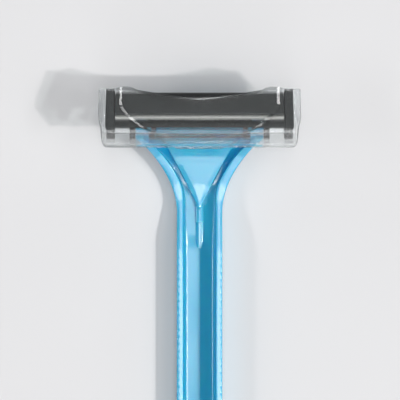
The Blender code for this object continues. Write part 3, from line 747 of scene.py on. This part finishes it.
BLADE_HALF = CHEEK_INNER - BLADE_GAP
BLADE_WIDTH = 4.6
BLADE_THICKNESS = 0.12
BLADE_EDGE_V = -2.5
BLADE_EDGE_DEPTH = 0.12
BLADE_TILT = math.radians(22.0)


def along_blade(distance, offset):
    """(v, z) at a distance back from the cutting edge and an offset above the blade's middle."""
    back = distance * math.cos(BLADE_TILT) + offset * math.sin(BLADE_TILT)
    up = offset * math.cos(BLADE_TILT) - distance * math.sin(BLADE_TILT)
    return (BLADE_EDGE_V + back, up - BLADE_EDGE_DEPTH)


UNDER_BLADE = -0.5 * BLADE_THICKNESS - BLADE_GAP
SEAT_NOSE_V, SEAT_NOSE_Z = along_blade(SEAT_NOSE_SETBACK, UNDER_BLADE)
BEHIND_SEAT = along_blade(BLADE_WIDTH + BLADE_GAP, UNDER_BLADE)
NECK_END_V = (NECK_END_Y - HEAD_Y) / math.cos(HEAD_TILT) + LANDING_DEPTH * math.tan(HEAD_TILT)
print("head", 2 * HEAD_HALF, "mm wide, seat nose at v =", round(SEAT_NOSE_V, 2))

# %% Outlines of the blade block
TOE_BACK = FOOT_FRONT + TOE_WIDTH
SOLE_TOP = SOLE_THICKNESS - FOOT_DEPTH
POST_FRONT = SEAT_NOSE_V + POST_SETBACK
GUARD_BACK = GUARD_FRONT + GUARD_WIDTH

# Flat on top, undercut at the front, with a toe below and a sloped heel
CHEEK = [
    *quarter((FACE_HALF - CHEEK_ROUND, -CHEEK_ROUND), CHEEK_ROUND, CHEEK_ROUND, 5),
    *quarter((GUARD_FRONT + CHEEK_ROUND, -CHEEK_ROUND), -CHEEK_ROUND, CHEEK_ROUND, 5)[::-1],
    (GUARD_FRONT + CHEEK_UNDERCUT, FOOT_TOP), (FOOT_FRONT, FOOT_TOP), (FOOT_FRONT, -FOOT_DEPTH),
    (CHEEK_HEEL_V, -FOOT_DEPTH), (FACE_HALF, -SEAT_DEPTH),
]

# From the toe bar, low under the rinse gap and up into the seat
FOOT_ARM = [
    (FOOT_FRONT, -FOOT_DEPTH), (POST_FRONT + BITE, -FOOT_DEPTH), (POST_FRONT + BITE, BITE - SEAT_DEPTH),
    (POST_FRONT, BITE - SEAT_DEPTH), (POST_FRONT, SOLE_TOP), (TOE_BACK, SOLE_TOP),
    (TOE_BACK, FOOT_TOP), (FOOT_FRONT, FOOT_TOP),
]

# Along the slope under the blade, down a step behind it, and back under a hanging lip. The lip's black
# stands in for the shade seen down through the rinse gap: it hides the neck there
SEAT = [
    (SEAT_NOSE_V, SEAT_NOSE_Z), BEHIND_SEAT, (BEHIND_SEAT[0], -SEAT_BACK_STEP),
    (SEAT_BACK, -SEAT_BACK_STEP), (SEAT_BACK, -SEAT_DEPTH), (SEAT_NOSE_V + SEAT_LIP_ROOT, -SEAT_DEPTH),
    (SEAT_NOSE_V + SEAT_LIP_WIDTH, -SEAT_LIP), (SEAT_NOSE_V, -SEAT_LIP),
]

# A gently crowned top, and an underside that rises towards the front
GUARD = [(GUARD_FRONT + v, z) for v, z in GUARD_CROWN]
GUARD += [(GUARD_BACK, -GUARD_DEPTH), (GUARD_BACK - 0.5 * GUARD_WIDTH, -GUARD_DEPTH)]
print("cheek", len(CHEEK), "corners, foot arm", len(FOOT_ARM), "and seat", len(SEAT))

# %% [markdown]
# The outlines become bars. The cheeks are one piece with wide round edges, and everything between them
# is a second piece. Its bars run a little into the cheeks and into each other, so that no gap shows.

# %% Blade block
cheeks = [bar(CHEEK, *sorted((side * CHEEK_INNER, side * HEAD_HALF))) for side in (-1, 1)]
make_head_piece("blade_block_cheeks", cheeks, "blade_seat", block_plastic, CHEEK_EDGE)

# Between them every bar: seat, guard, bridges, mount, toe and foot arms
reach = CHEEK_INNER + CHEEK_BITE
shells = [bar(SEAT, -reach, reach), bar(GUARD, -reach, reach)]
for x in np.linspace(-CHEEK_INNER, CHEEK_INNER, BRIDGE_COUNT + 2)[1:-1]:
    shells.append(block(x, 0.5 * BRIDGE_WIDTH, GUARD_FRONT + BRIDGE_START, SEAT_NOSE_V + BRIDGE_BITE,
                        BRIDGE_LOW, BRIDGE_HIGH))
shells.append(block(0.0, MOUNT_HALF, SEAT_NOSE_V - BITE, NECK_END_V, -FOOT_DEPTH, BITE - SEAT_DEPTH))
shells.append(block(0.0, MOUNT_HALF, FOOT_FRONT, TOE_BACK, -FOOT_DEPTH, FOOT_TOP))
shells += [bar(FOOT_ARM, x - 0.5 * width, x + 0.5 * width) for x, width in FOOT_ARMS]
make_head_piece("blade_block_bars", shells, "blade_seat", block_plastic, BAR_EDGE)

# %% [markdown]
# The blade
#
# The blade is one strip 4.6 mm wide and 0.12 mm thick, ground to an edge on both faces over its first
# 0.45 mm. Only 0.85 mm of it shows in front of the cover. An outline carried along x is all it needs,
# and its corners stay crisp, as ground steel does.

# %% Blade
BLADE_BEVEL = 0.45

# A flat strip whose front half millimetre narrows to the edge from both faces
half = 0.5 * BLADE_THICKNESS
corners = [
    (0.0, 0.0), (BLADE_BEVEL, half), (BLADE_WIDTH, half), (BLADE_WIDTH, -half), (BLADE_BEVEL, -half),
]
outline = [along_blade(distance, offset) for distance, offset in corners]
make_head_piece("blade_strip", [bar(outline, -BLADE_HALF, BLADE_HALF)], "blade",
                blade_steel, sharp_degrees=3.0)

# %% [markdown]
# The cover and its rivets
#
# The cover is a black wedge that lies on the blade and clamps it. Two studs under it go through the
# blade and the seat, and their ends are pressed into flat domes behind the head, which show from
# below.

# %% Top cover
COVER_NOSE = 0.35
COVER_ROUND = 0.6
BLADE_EXPOSURE = 0.85

# A wedge with round front and back edges, and a heel that drops behind the blade
over_blade = 0.5 * BLADE_THICKNESS + BLADE_GAP
nose = along_blade(BLADE_EXPOSURE / math.cos(BLADE_TILT), over_blade)
behind = along_blade(BLADE_WIDTH + BLADE_GAP, over_blade)
seated = BLADE_GAP - SEAT_BACK_STEP
outline = [
    *quarter((nose[0] + COVER_NOSE, nose[1]), -COVER_NOSE, -nose[1], 7),
    *quarter((SEAT_BACK - COVER_ROUND, -COVER_ROUND), COVER_ROUND, COVER_ROUND, 7)[::-1],
    (SEAT_BACK, seated), (behind[0] + BLADE_GAP, seated), (behind[0] + BLADE_GAP, behind[1]), behind,
]
make_head_piece("cover_bar", [bar(outline, -BLADE_HALF, BLADE_HALF)], "top_cover",
                cover_plastic, COVER_EDGE)

# %% [markdown]
# A stud and its rivet head are one profile of radius against height, turned round the stud's axis. It
# goes down the stud's side, steps out under the seat, and closes in a dome with a round edge.

# %% Rivets
STUD_XS = (-14.6, 14.6)
STUD_V = 0.2
STUD_RADIUS = 0.8
RIVET_RADIUS = 1.1
RIVET_HEIGHT = 0.6
RIVET_ROUND = 0.25
STUD_TOP = -0.5
RIVET_SIDES = 32


def turned(radii, heights, x, v):
    """A profile of radius against height, turned round an upright axis at x and v."""
    angles = np.linspace(0.0, 2.0 * math.pi, RIVET_SIDES + 1)[:, None]
    radii = np.array(radii)[None, :]
    heights = np.repeat(np.array(heights)[None, :], RIVET_SIDES + 1, axis=0)
    points = np.stack([x + radii * np.cos(angles), v + radii * np.sin(angles), heights], axis=2)
    return points.reshape(-1, 3), grid_faces(*points.shape[:2]).tolist()


top = -SEAT_DEPTH - BLADE_GAP
bottom = top - RIVET_HEIGHT
dome = np.radians(np.array([30.0, 60.0, 90.0]))
radii = [0.0, STUD_RADIUS, STUD_RADIUS, RIVET_RADIUS, RIVET_RADIUS]
radii += (RIVET_RADIUS - RIVET_ROUND + RIVET_ROUND * np.cos(dome)).tolist() + [0.0]
heights = [STUD_TOP, STUD_TOP, top, top, bottom + RIVET_ROUND]
heights += (bottom + RIVET_ROUND - RIVET_ROUND * np.sin(dome)).tolist() + [bottom]
make_head_piece("cover_rivets", [turned(radii, heights, x, STUD_V) for x in STUD_XS], "top_cover",
                cover_plastic, sharp_degrees=40.0)

# %% [markdown]
# The travel cap
#
# The cap is a thin clear lid. Its face lies over the blade and breaks at a ridge into a skirt that
# slopes down in front of the guard. Two end walls lean out towards the top, less and less towards the
# ridge. A shield shape stands 0.45 mm proud of the face and runs down the skirt, the top edge has a
# finger notch, and two small lips hook behind the head.
#
# A flat sheet with a Solidify modifier could not carry the shield on one side alone. So the cap is two
# skins with the same grid, an outer and an inner one, joined along their edge. Across, the grid's
# columns follow the shield's outline, so its step stays crisp. Down, its rows follow the face, the
# ridge and the skirt.

# %% Cap sizes
CAP_WALL = 0.85
CAP_BACK_V = 4.25
CAP_RIDGE_V = -6.1
CAP_DROP = 4.35
CAP_SPLAY = 1.7
CAP_FACE_Z = FIT_GAP + CAP_WALL
CAP_BOTTOM_Z = CAP_FACE_Z - CAP_DROP
CAP_BOTTOM_V = CAP_RIDGE_V - CAP_SPLAY
CAP_END_BOTTOM = HEAD_HALF + 0.9
CAP_END_LEAN = 0.16
CAP_END_BOTTOM_Z = -4.8
RIDGE_RADIUS = 0.3
INNER_RIDGE_RADIUS = 0.9
SHIELD_RISE = 0.45
SHIELD_HALF = 17.1
SHIELD_FOOT = 4.8
SHIELD_STRAIGHT_V = 0.5
SHIELD_FULLNESS = 1.45
SHIELD_STEP = 0.45
NOTCH_HALF = 15.5
NOTCH_DROP = 2.4
NOTCH_FULLNESS = 1.5
LIP_INNER = 14.3
LIP_OUTER = 17.9
LIP_FRONT_V = 3.92
LIP_DROP = 1.4
LIP_BULGE = 0.3
LIP_SWELL_REACH = 0.5
print("cap", round(2 * (CAP_END_BOTTOM + CAP_END_LEAN * CAP_DROP), 2), "mm across its face")

# %% [markdown]
# The face, the ridge and the skirt are one profile with a direction square to it at every row. The
# outer skin is that profile, pushed out by the shield's rise where the shield is. The shield's edge is
# straight down to v = 0.5 and then follows a superellipse to the foot of the skirt:
# (x')^n + (v')^n = 1, with n = 1.45.

# %% Cap profile and outline
FACE_ROWS = np.concatenate([
    [4.25, 4.17, 4.02, 3.95, 3.89, 3.8, 3.4, 2.9, 2.2, 1.4, 0.8],
    np.linspace(0.5, -4.8, 21),
])
RIDGE_ROWS = 16
SKIRT_ROWS = 26


def cap_profile(ridge_v, radius, face_z):
    """Columns v, z of face, round ridge and skirt from back to foot, and the directions square to them."""
    slope = math.atan2(CAP_DROP, CAP_SPLAY)
    tangent = radius * math.tan(0.5 * slope)
    face = np.column_stack([FACE_ROWS, np.full(len(FACE_ROWS), face_z)])
    turn = np.linspace(0.0, slope, RIDGE_ROWS)
    directions = np.column_stack([-np.sin(turn), np.cos(turn)])
    ridge = np.array([ridge_v + tangent, face_z - radius]) + radius * directions
    drop = face_z - CAP_BOTTOM_Z
    foot = np.array([ridge_v - drop / math.tan(slope), CAP_BOTTOM_Z])
    share = np.sin(np.linspace(0.0, 0.5 * math.pi, SKIRT_ROWS + 1))[1:, None]
    skirt = ridge[-1] + (foot - ridge[-1]) * share
    square = np.concatenate([
        np.repeat(directions[:1], len(face), axis=0), directions,
        np.repeat(directions[-1:], SKIRT_ROWS, axis=0),
    ])
    return np.split(np.hstack([np.concatenate([face, ridge, skirt]), square]), 4, axis=1)


def shield_half_width(v, foot_v):
    """Half the shield's width at v: 17.1 mm, then a superellipse that ends 4.8 mm wide at its foot."""
    t = np.clip((SHIELD_STRAIGHT_V - v) / (SHIELD_STRAIGHT_V - foot_v), 0.0, 1.0)
    across = SHIELD_HALF - SHIELD_FOOT
    return SHIELD_FOOT + across * (1.0 - t**SHIELD_FULLNESS) ** (1.0 / SHIELD_FULLNESS)


def back_edge(x):
    """v of the cap's back edge: a notch that rises with the 1.5th power of x, and a swell at each lip."""
    notch = CAP_BACK_V - NOTCH_DROP * (1.0 - np.clip(x / NOTCH_HALF, 0.0, 1.0) ** NOTCH_FULLNESS)
    middle = 0.5 * (LIP_INNER + LIP_OUTER)
    half = 0.5 * (LIP_OUTER - LIP_INNER) + LIP_SWELL_REACH
    swell = np.clip(1.0 - ((x - middle) / half) ** 2, 0.0, None)
    return notch + LIP_BULGE * smooth_step(2.0 * swell)


def wall_foot(v):
    """z of an end wall's lower edge, a straight line from the skirt's foot to the back."""
    share = (v - CAP_BOTTOM_V) / (CAP_BACK_V - CAP_BOTTOM_V)
    return CAP_BOTTOM_Z + share * (CAP_END_BOTTOM_Z - CAP_BOTTOM_Z)


outer_rows = cap_profile(CAP_RIDGE_V, RIDGE_RADIUS, CAP_FACE_Z)
print("cap profile:", len(outer_rows[0]), "rows; shield foot", 2 * SHIELD_FOOT, "mm wide")

# %% [markdown]
# A column is either inside the shield, on its step, outside it, on the round corner at the cap's end,
# or on the end wall. Inside columns are shares of the shield's half width, so that they all follow its
# outline. The inner skin has the same columns, drawn in where its own corner lies further in.

# %% Cap skins
CAP_END_INNER = HEAD_HALF + FIT_GAP
CAP_NARROW_V = (-2.0, -6.1)
CORNER_RADIUS = 0.5
INNER_CORNER_RADIUS = 0.25
CORNER_SHARE = 0.4
LEAST_CORNER = 0.02
LEAST_WALL = 0.05
PLAN_RADIUS = 1.1
INNER_PLAN_RADIUS = 0.5

INSIDE = np.array([0.0, 0.06, 0.13, 0.2, 0.27, 0.34, 0.41, 0.48, 0.55, 0.62, 0.69, 0.75, 0.8,
                   0.82, 0.833, 0.848, 0.87, 0.9, 0.93, 0.96, 0.985])
STEP_PLACES = np.array([-1.06, -1.0, -0.93, -0.86, -0.4, 0.4, 0.86, 0.93, 1.0, 1.06])
STEP_RISES = np.array([1.0, 0.9954, 0.9784, 0.9488, 0.709, 0.291, 0.0512, 0.0216, 0.0046, 0.0])
OUTSIDE = np.array([0.06, 0.12, 0.172, 0.205, 0.26, 0.34, 0.45, 0.57, 0.7, 0.83, 0.93])
CORNER_ANGLES = np.radians(np.linspace(0.0, 90.0, 8))
WALL_SHARES = np.array([0.15, 0.4, 0.65, 0.9, 1.0])


def end_columns(cap_rows, end_at_foot, lean, corner_radius, plan_radius):
    """The round corner and the end wall, and x where the flat part ends, for every row.

    The corner is a quarter circle whose radius shrinks with the wall's height. The lean fades towards
    the ridge. At the skirt's foot the plan draws in by radius - sqrt(radius^2 - distance^2)."""
    v, z, drop_v, drop_z = cap_rows
    wall_height = np.clip(z - wall_foot(v), 0.0, None)
    radius = np.minimum(corner_radius, CORNER_SHARE * wall_height + LEAST_CORNER)
    into_foot = np.clip((v[-1] + plan_radius - v) / plan_radius, 0.0, 1.0)
    draw_in = plan_radius * (1.0 - np.sqrt(1.0 - into_foot**2))
    lean = lean * (1.0 - ramp(v, CAP_NARROW_V))
    start_v = v - radius * drop_v
    start_z = z - radius * drop_z
    end = end_at_foot + lean * (start_z - CAP_BOTTOM_Z) - draw_in

    fall = radius * (np.cos(CORNER_ANGLES) - 1.0)
    corner = [end - radius + radius * np.sin(CORNER_ANGLES), v + drop_v * fall, z + drop_z * fall]
    wall_end = np.minimum(wall_foot(start_v), start_z - LEAST_WALL)
    wall_z = start_z + WALL_SHARES * (wall_end - start_z)
    wall = [end + lean * (wall_z - start_z), start_v + 0.0 * wall_z, wall_z]
    return np.concatenate([np.stack(corner, axis=2), np.stack(wall, axis=2)], axis=1), end - radius


def half_skin(cap_rows, inner, *end_sizes):
    """The right half of a cap skin as a grid: rows from back to foot, columns from the middle out.

    Inside the shield x is a share of its half width, outside a share of the way to the cap's end. On
    the shield a point rises along the square direction. Rows behind the straight part of the shield
    stretch in proportion, so that the last one lies on the back edge."""
    v, z, drop_v, drop_z = cap_rows
    ends, flat_end = end_columns(cap_rows, *end_sizes)
    outline = shield_half_width(v + SHIELD_RISE * drop_v, CAP_BOTTOM_V - SHIELD_RISE)
    start = outline + SHIELD_STEP
    x = np.concatenate([
        INSIDE * (outline - SHIELD_STEP),
        outline + STEP_PLACES * SHIELD_STEP,
        start + OUTSIDE * (flat_end - start),
    ], axis=1)
    rises = SHIELD_RISE * np.concatenate([np.ones(len(INSIDE)), STEP_RISES, np.zeros(len(OUTSIDE))])
    if inner:
        outer_lean = CAP_END_LEAN * (1.0 - ramp(v, CAP_NARROW_V))
        outer_end = CAP_END_BOTTOM + outer_lean * (z - CAP_BOTTOM_Z) - CORNER_RADIUS
        x = np.minimum(x, x * flat_end / outer_end)
        rises = 0.0 * rises
    flat_v = v + rises * drop_v
    flat_z = z + rises * drop_z
    share = (flat_v - SHIELD_STRAIGHT_V) / (CAP_BACK_V - SHIELD_STRAIGHT_V)
    stretched = SHIELD_STRAIGHT_V + share * (back_edge(x) - SHIELD_STRAIGHT_V)
    flat_v = np.where(share > 0.0, stretched, flat_v)
    if inner:
        in_lip = (x > LIP_INNER) & (x < LIP_OUTER) & (v > LIP_FRONT_V)
        flat_z = np.where(in_lip, -LIP_DROP, flat_z)
    return np.concatenate([np.stack([x, flat_v, flat_z], axis=2), ends], axis=1)


def mirrored(half):
    """A whole skin from its right half; the middle column is shared."""
    left = half[:, :0:-1] * np.array([-1.0, 1.0, 1.0])
    return np.concatenate([left, half], axis=1)


# Where the inner face meets the inner skirt, which lies the wall's thickness behind the outer skirt
inner_ridge_v = CAP_RIDGE_V + CAP_WALL / CAP_DROP * (math.hypot(CAP_DROP, CAP_SPLAY) - CAP_SPLAY)
inner_rows = cap_profile(inner_ridge_v, INNER_RIDGE_RADIUS, FIT_GAP)
outer_skin = mirrored(half_skin(outer_rows, False, CAP_END_BOTTOM, CAP_END_LEAN, CORNER_RADIUS,
                                PLAN_RADIUS))
inner_skin = mirrored(half_skin(inner_rows, True, CAP_END_INNER, 0.0, INNER_CORNER_RADIUS,
                                INNER_PLAN_RADIUS))
print("cap skins:", outer_skin.shape[0], "rows of", outer_skin.shape[1], "points each")

# %% [markdown]
# The two skins meet in a rim that runs round the back edge, the end walls' lower edges and the skirt's
# foot. It is a little rounded: its middle stands out by a tenth of a millimetre.

# %% Cap rim and piece
RIM_SHARES = np.array([0.12, 0.35, 0.65, 0.88])
RIM_SWELLS = np.array([0.06, 0.10, 0.10, 0.06])

# The outer points of a skin, in order round it
rows, columns = outer_skin.shape[:2]
grid = np.arange(rows * columns).reshape(rows, columns)
loop = np.concatenate([grid[0, :-1], grid[:-1, -1], grid[-1, :0:-1], grid[:0:-1, 0]])

# Outer skin, inner skin turned round, and strips from edge to edge over the rim's rings
outer = outer_skin.reshape(-1, 3)
inner = inner_skin.reshape(-1, 3)
count = len(loop)
outwards = np.zeros((count, 3))
outwards[: columns - 1, 1] = 1.0
outwards[columns - 1 :, 2] = -1.0
across = RIM_SHARES[:, None, None] * (inner[loop] - outer[loop])
rings = outer[loop] + across + RIM_SWELLS[:, None, None] * outwards
points = np.concatenate([outer, inner, rings.reshape(-1, 3)])
ring_start = 2 * rows * columns
chain = [loop] + [ring_start + k * count + np.arange(count) for k in range(len(RIM_SHARES))]
chain += [rows * columns + loop]
faces = grid_faces(rows, columns).tolist()
faces += (rows * columns + grid_faces(rows, columns)[:, ::-1]).tolist()
for near, far in zip(chain[:-1], chain[1:]):
    strip = np.column_stack([near, far, np.roll(far, -1), np.roll(near, -1)])
    faces += strip.tolist()
make_piece("travel_cap", from_head(points), faces, "cap", "protective_cap",
           clear_plastic, sharp_degrees=50.0)

# %% [markdown]
# Table
#
# The razor lies on a plain pale table top. Its colour, not the lamps, makes the picture pale.

# %% Table top
FLOOR_HALF = 900.0

laminate, tree, place = new_material("pale_laminate_table")
cloud = add_node(tree, "TexNoise", {"Scale": per_metre(60.0), "Detail": 2.0}, {"Vector": place})
tint = add_node(tree, "Mix", {"data_type": "RGBA", 6: linear("#D8D8DA"), 7: linear("#DADADC")},
                {"Factor": cloud})
shader = add_node(tree, "BsdfPrincipled", {"Roughness": 0.6, "Specular IOR Level": 0.2},
                  {"Base Color": tint.outputs[2]})
add_node(tree, "OutputMaterial", None, {"Surface": shader})
corners = np.array([(-1, -1, 0), (1, -1, 0), (1, 1, 0), (-1, 1, 0)]) * FLOOR_HALF * MM
mesh = bpy.data.meshes.new("table_top")
mesh.from_pydata(corners.tolist(), [], [(0, 1, 2, 3)])
mesh.materials.append(laminate)
add_object("table_top", mesh)
print("table top", 2 * FLOOR_HALF, "mm square")

# %% [markdown]
# Lamps
#
# A small key lamp at the lower right gives the clear-edged shadows to the upper left. The soft lamps
# are there mostly to be reflected. A glossy surface shows a lamp where it leans half way towards it:
# the boxes brighten the tops of the rims, the panels and the back strip the two ends, and each tube
# draws one of the thin bright lines.

# %% Lamps
KEY_DIRECTION = Vector((0.84, -0.335, 1.0))
KEY_STRENGTH = 1.27
KEY_ANGLE = math.radians(2.2)
AIM = Vector((0.0, 0.045, 0.015))

# Name, place and size in metres, power in watts, and the direction of the size's second side
SOFT_LAMPS = (
    ("box_lamp_1", (0.03, -0.06, 1.0), (0.30, 0.38), 1.6, (0.0, -1.0, -0.06)),
    ("box_lamp_2", (0.03, 0.38, 0.97), (0.14, 0.48), 0.75, (0.0, 1.0, -0.36)),
    ("box_lamp_3", (0.50, 0.22, 0.93), (0.26, 0.76), 1.2, (0.0, 1.0, -0.2)),
    ("front_lamp_1", (0.04, -0.55, 0.80), (0.24, 0.66), 1.05, (0.0, -0.82, -0.57)),
    ("front_lamp_2", (0.02, -0.93, 0.38), (0.40, 0.55), 1.1, (0.0, -0.33, -0.94)),
    ("back_lamp", (0.0, 0.95, 0.09), (0.90, 0.14), 1.3, (0.0, 0.0, 1.0)),
    ("tube_lamp_1", (-0.705, 0.51, 0.33), (0.06, 0.26), 0.66, (-0.04, 0.14, -0.12)),
    ("tube_lamp_2", (-0.742, 0.13, 0.522), (0.06, 0.38), 0.78, (-0.027, 0.30, -0.077)),
    ("tube_lamp_3", (-0.681, -0.19, 0.543), (0.06, 0.36), 0.72, (-0.094, 0.34, 0.034)),
    ("tube_lamp_4", (0.70, 0.578, 0.278), (0.06, 0.16), 0.45, (0.0, 0.27, -0.28)),
    ("tube_lamp_5", (0.667, -0.257, 0.545), (0.05, 0.22), 0.25, (0.066, 0.206, 0.038)),
    ("tube_lamp_6", (0.58, -0.07, 0.62), (0.06, 0.20), 0.95, (0.0, 1.0, 0.0)),
)


def make_soft_lamp(name, place, size, power, second_side):
    """An area lamp that faces the razor. Its three axes are square to each other by cross products."""
    data = bpy.data.lights.new(name, "AREA")
    data.shape = "RECTANGLE"
    data.size, data.size_y = size
    data.energy = power
    lamp = add_object(name, data)
    lamp.visible_camera = False
    back = (Vector(place) - AIM).normalized()
    side = Vector(second_side).cross(back).normalized()
    turned_axes = Matrix((side, back.cross(side), back)).transposed()
    lamp.matrix_world = Matrix.Translation(place) @ turned_axes.to_4x4()


# A sun lamp: light from one direction, with the slightly soft shadow of a small lamp
data = bpy.data.lights.new("key_lamp", "SUN")
data.energy = KEY_STRENGTH
data.angle = KEY_ANGLE
data.color = linear("#FFFDFA")[:3]
lamp = add_object("key_lamp", data)
lamp.rotation_euler = (-KEY_DIRECTION).to_track_quat("-Z", "Y").to_euler()
for soft_lamp in SOFT_LAMPS:
    make_soft_lamp(*soft_lamp)
print("key lamp and", len(SOFT_LAMPS), "soft lamps made")

# %% [markdown]
# Room
#
# The room gives everything even light. Gloss shows its walls, which are pale low down, greyer towards
# the ceiling and dark on the left. The camera, and clear plastic when looked through, see one pale
# background. Each of these is a strength of the same white, chosen by the kind of ray.

# %% Room
ROOM_STRENGTH = 0.165
WALL_RISE = (0.1, 0.7)
WALL_SHADES = (1.0, 0.52)
DARK_SIDE_X = (-0.3, 0.0)
DARK_SIDE = 0.08
BACKGROUND = 0.86

# Gloss sees the wall's shade times the side's, from the ray's direction (x, y, z)
world = bpy.data.worlds.new("pale_room")
bpy.context.scene.world = world
world.use_nodes = True
tree = world.node_tree
tree.nodes.clear()
direction = add_node(tree, "TexCoord").outputs["Generated"]
split = add_node(tree, "SeparateXYZ", None, {"Vector": direction})
wall = add_node(tree, "MapRange", {
    "From Min": WALL_RISE[0], "From Max": WALL_RISE[1],
    "To Min": WALL_SHADES[0], "To Max": WALL_SHADES[1],
}, {"Value": split.outputs["Z"]})
side = add_node(tree, "MapRange", {
    "From Min": DARK_SIDE_X[0], "From Max": DARK_SIDE_X[1], "To Min": DARK_SIDE,
}, {"Value": split.outputs["X"]})
shade = add_node(tree, "Math", {"operation": "MULTIPLY"}, {0: wall, 1: side})
ray = add_node(tree, "LightPath").outputs
lit = add_node(tree, "Mix", {"A": ROOM_STRENGTH}, {"Factor": ray["Is Glossy Ray"], "B": shade})
seen = add_node(tree, "Math", {"operation": "MAXIMUM"},
                {0: ray["Is Camera Ray"], 1: ray["Is Transmission Ray"]})
strength = add_node(tree, "Mix", {"B": BACKGROUND}, {"Factor": seen, "A": lit})
room = add_node(tree, "Background", {"Color": linear("#FAFBFC")}, {"Strength": strength})
add_node(tree, "OutputWorld", None, {"Surface": room})
print("made", world.name)

# %% [markdown]
# Camera
#
# The photograph was taken from straight above, from about 36 cm. The camera stands a little towards
# the head, because the photograph cuts the tail off.

# %% Camera
CAMERA_PLACE = (0.1, 33.0, 364.0)
CAMERA_VIEW = math.radians(14.24)

# It looks straight down, as a new camera does
data = bpy.data.cameras.new("camera")
data.sensor_fit = "HORIZONTAL"
data.angle = CAMERA_VIEW
data.clip_start = 10 * MM
data.clip_end = 5.0
camera = add_object("camera", data)
camera.location = tuple(value * MM for value in CAMERA_PLACE)
bpy.context.scene.camera = camera
bpy.context.scene.view_settings.view_transform = "Standard"
print("camera", CAMERA_PLACE[2], "mm above the table")

# %% [markdown]
# Last step
#
# The scene is brought up to date.

# %% Finish
bpy.context.view_layer.update()
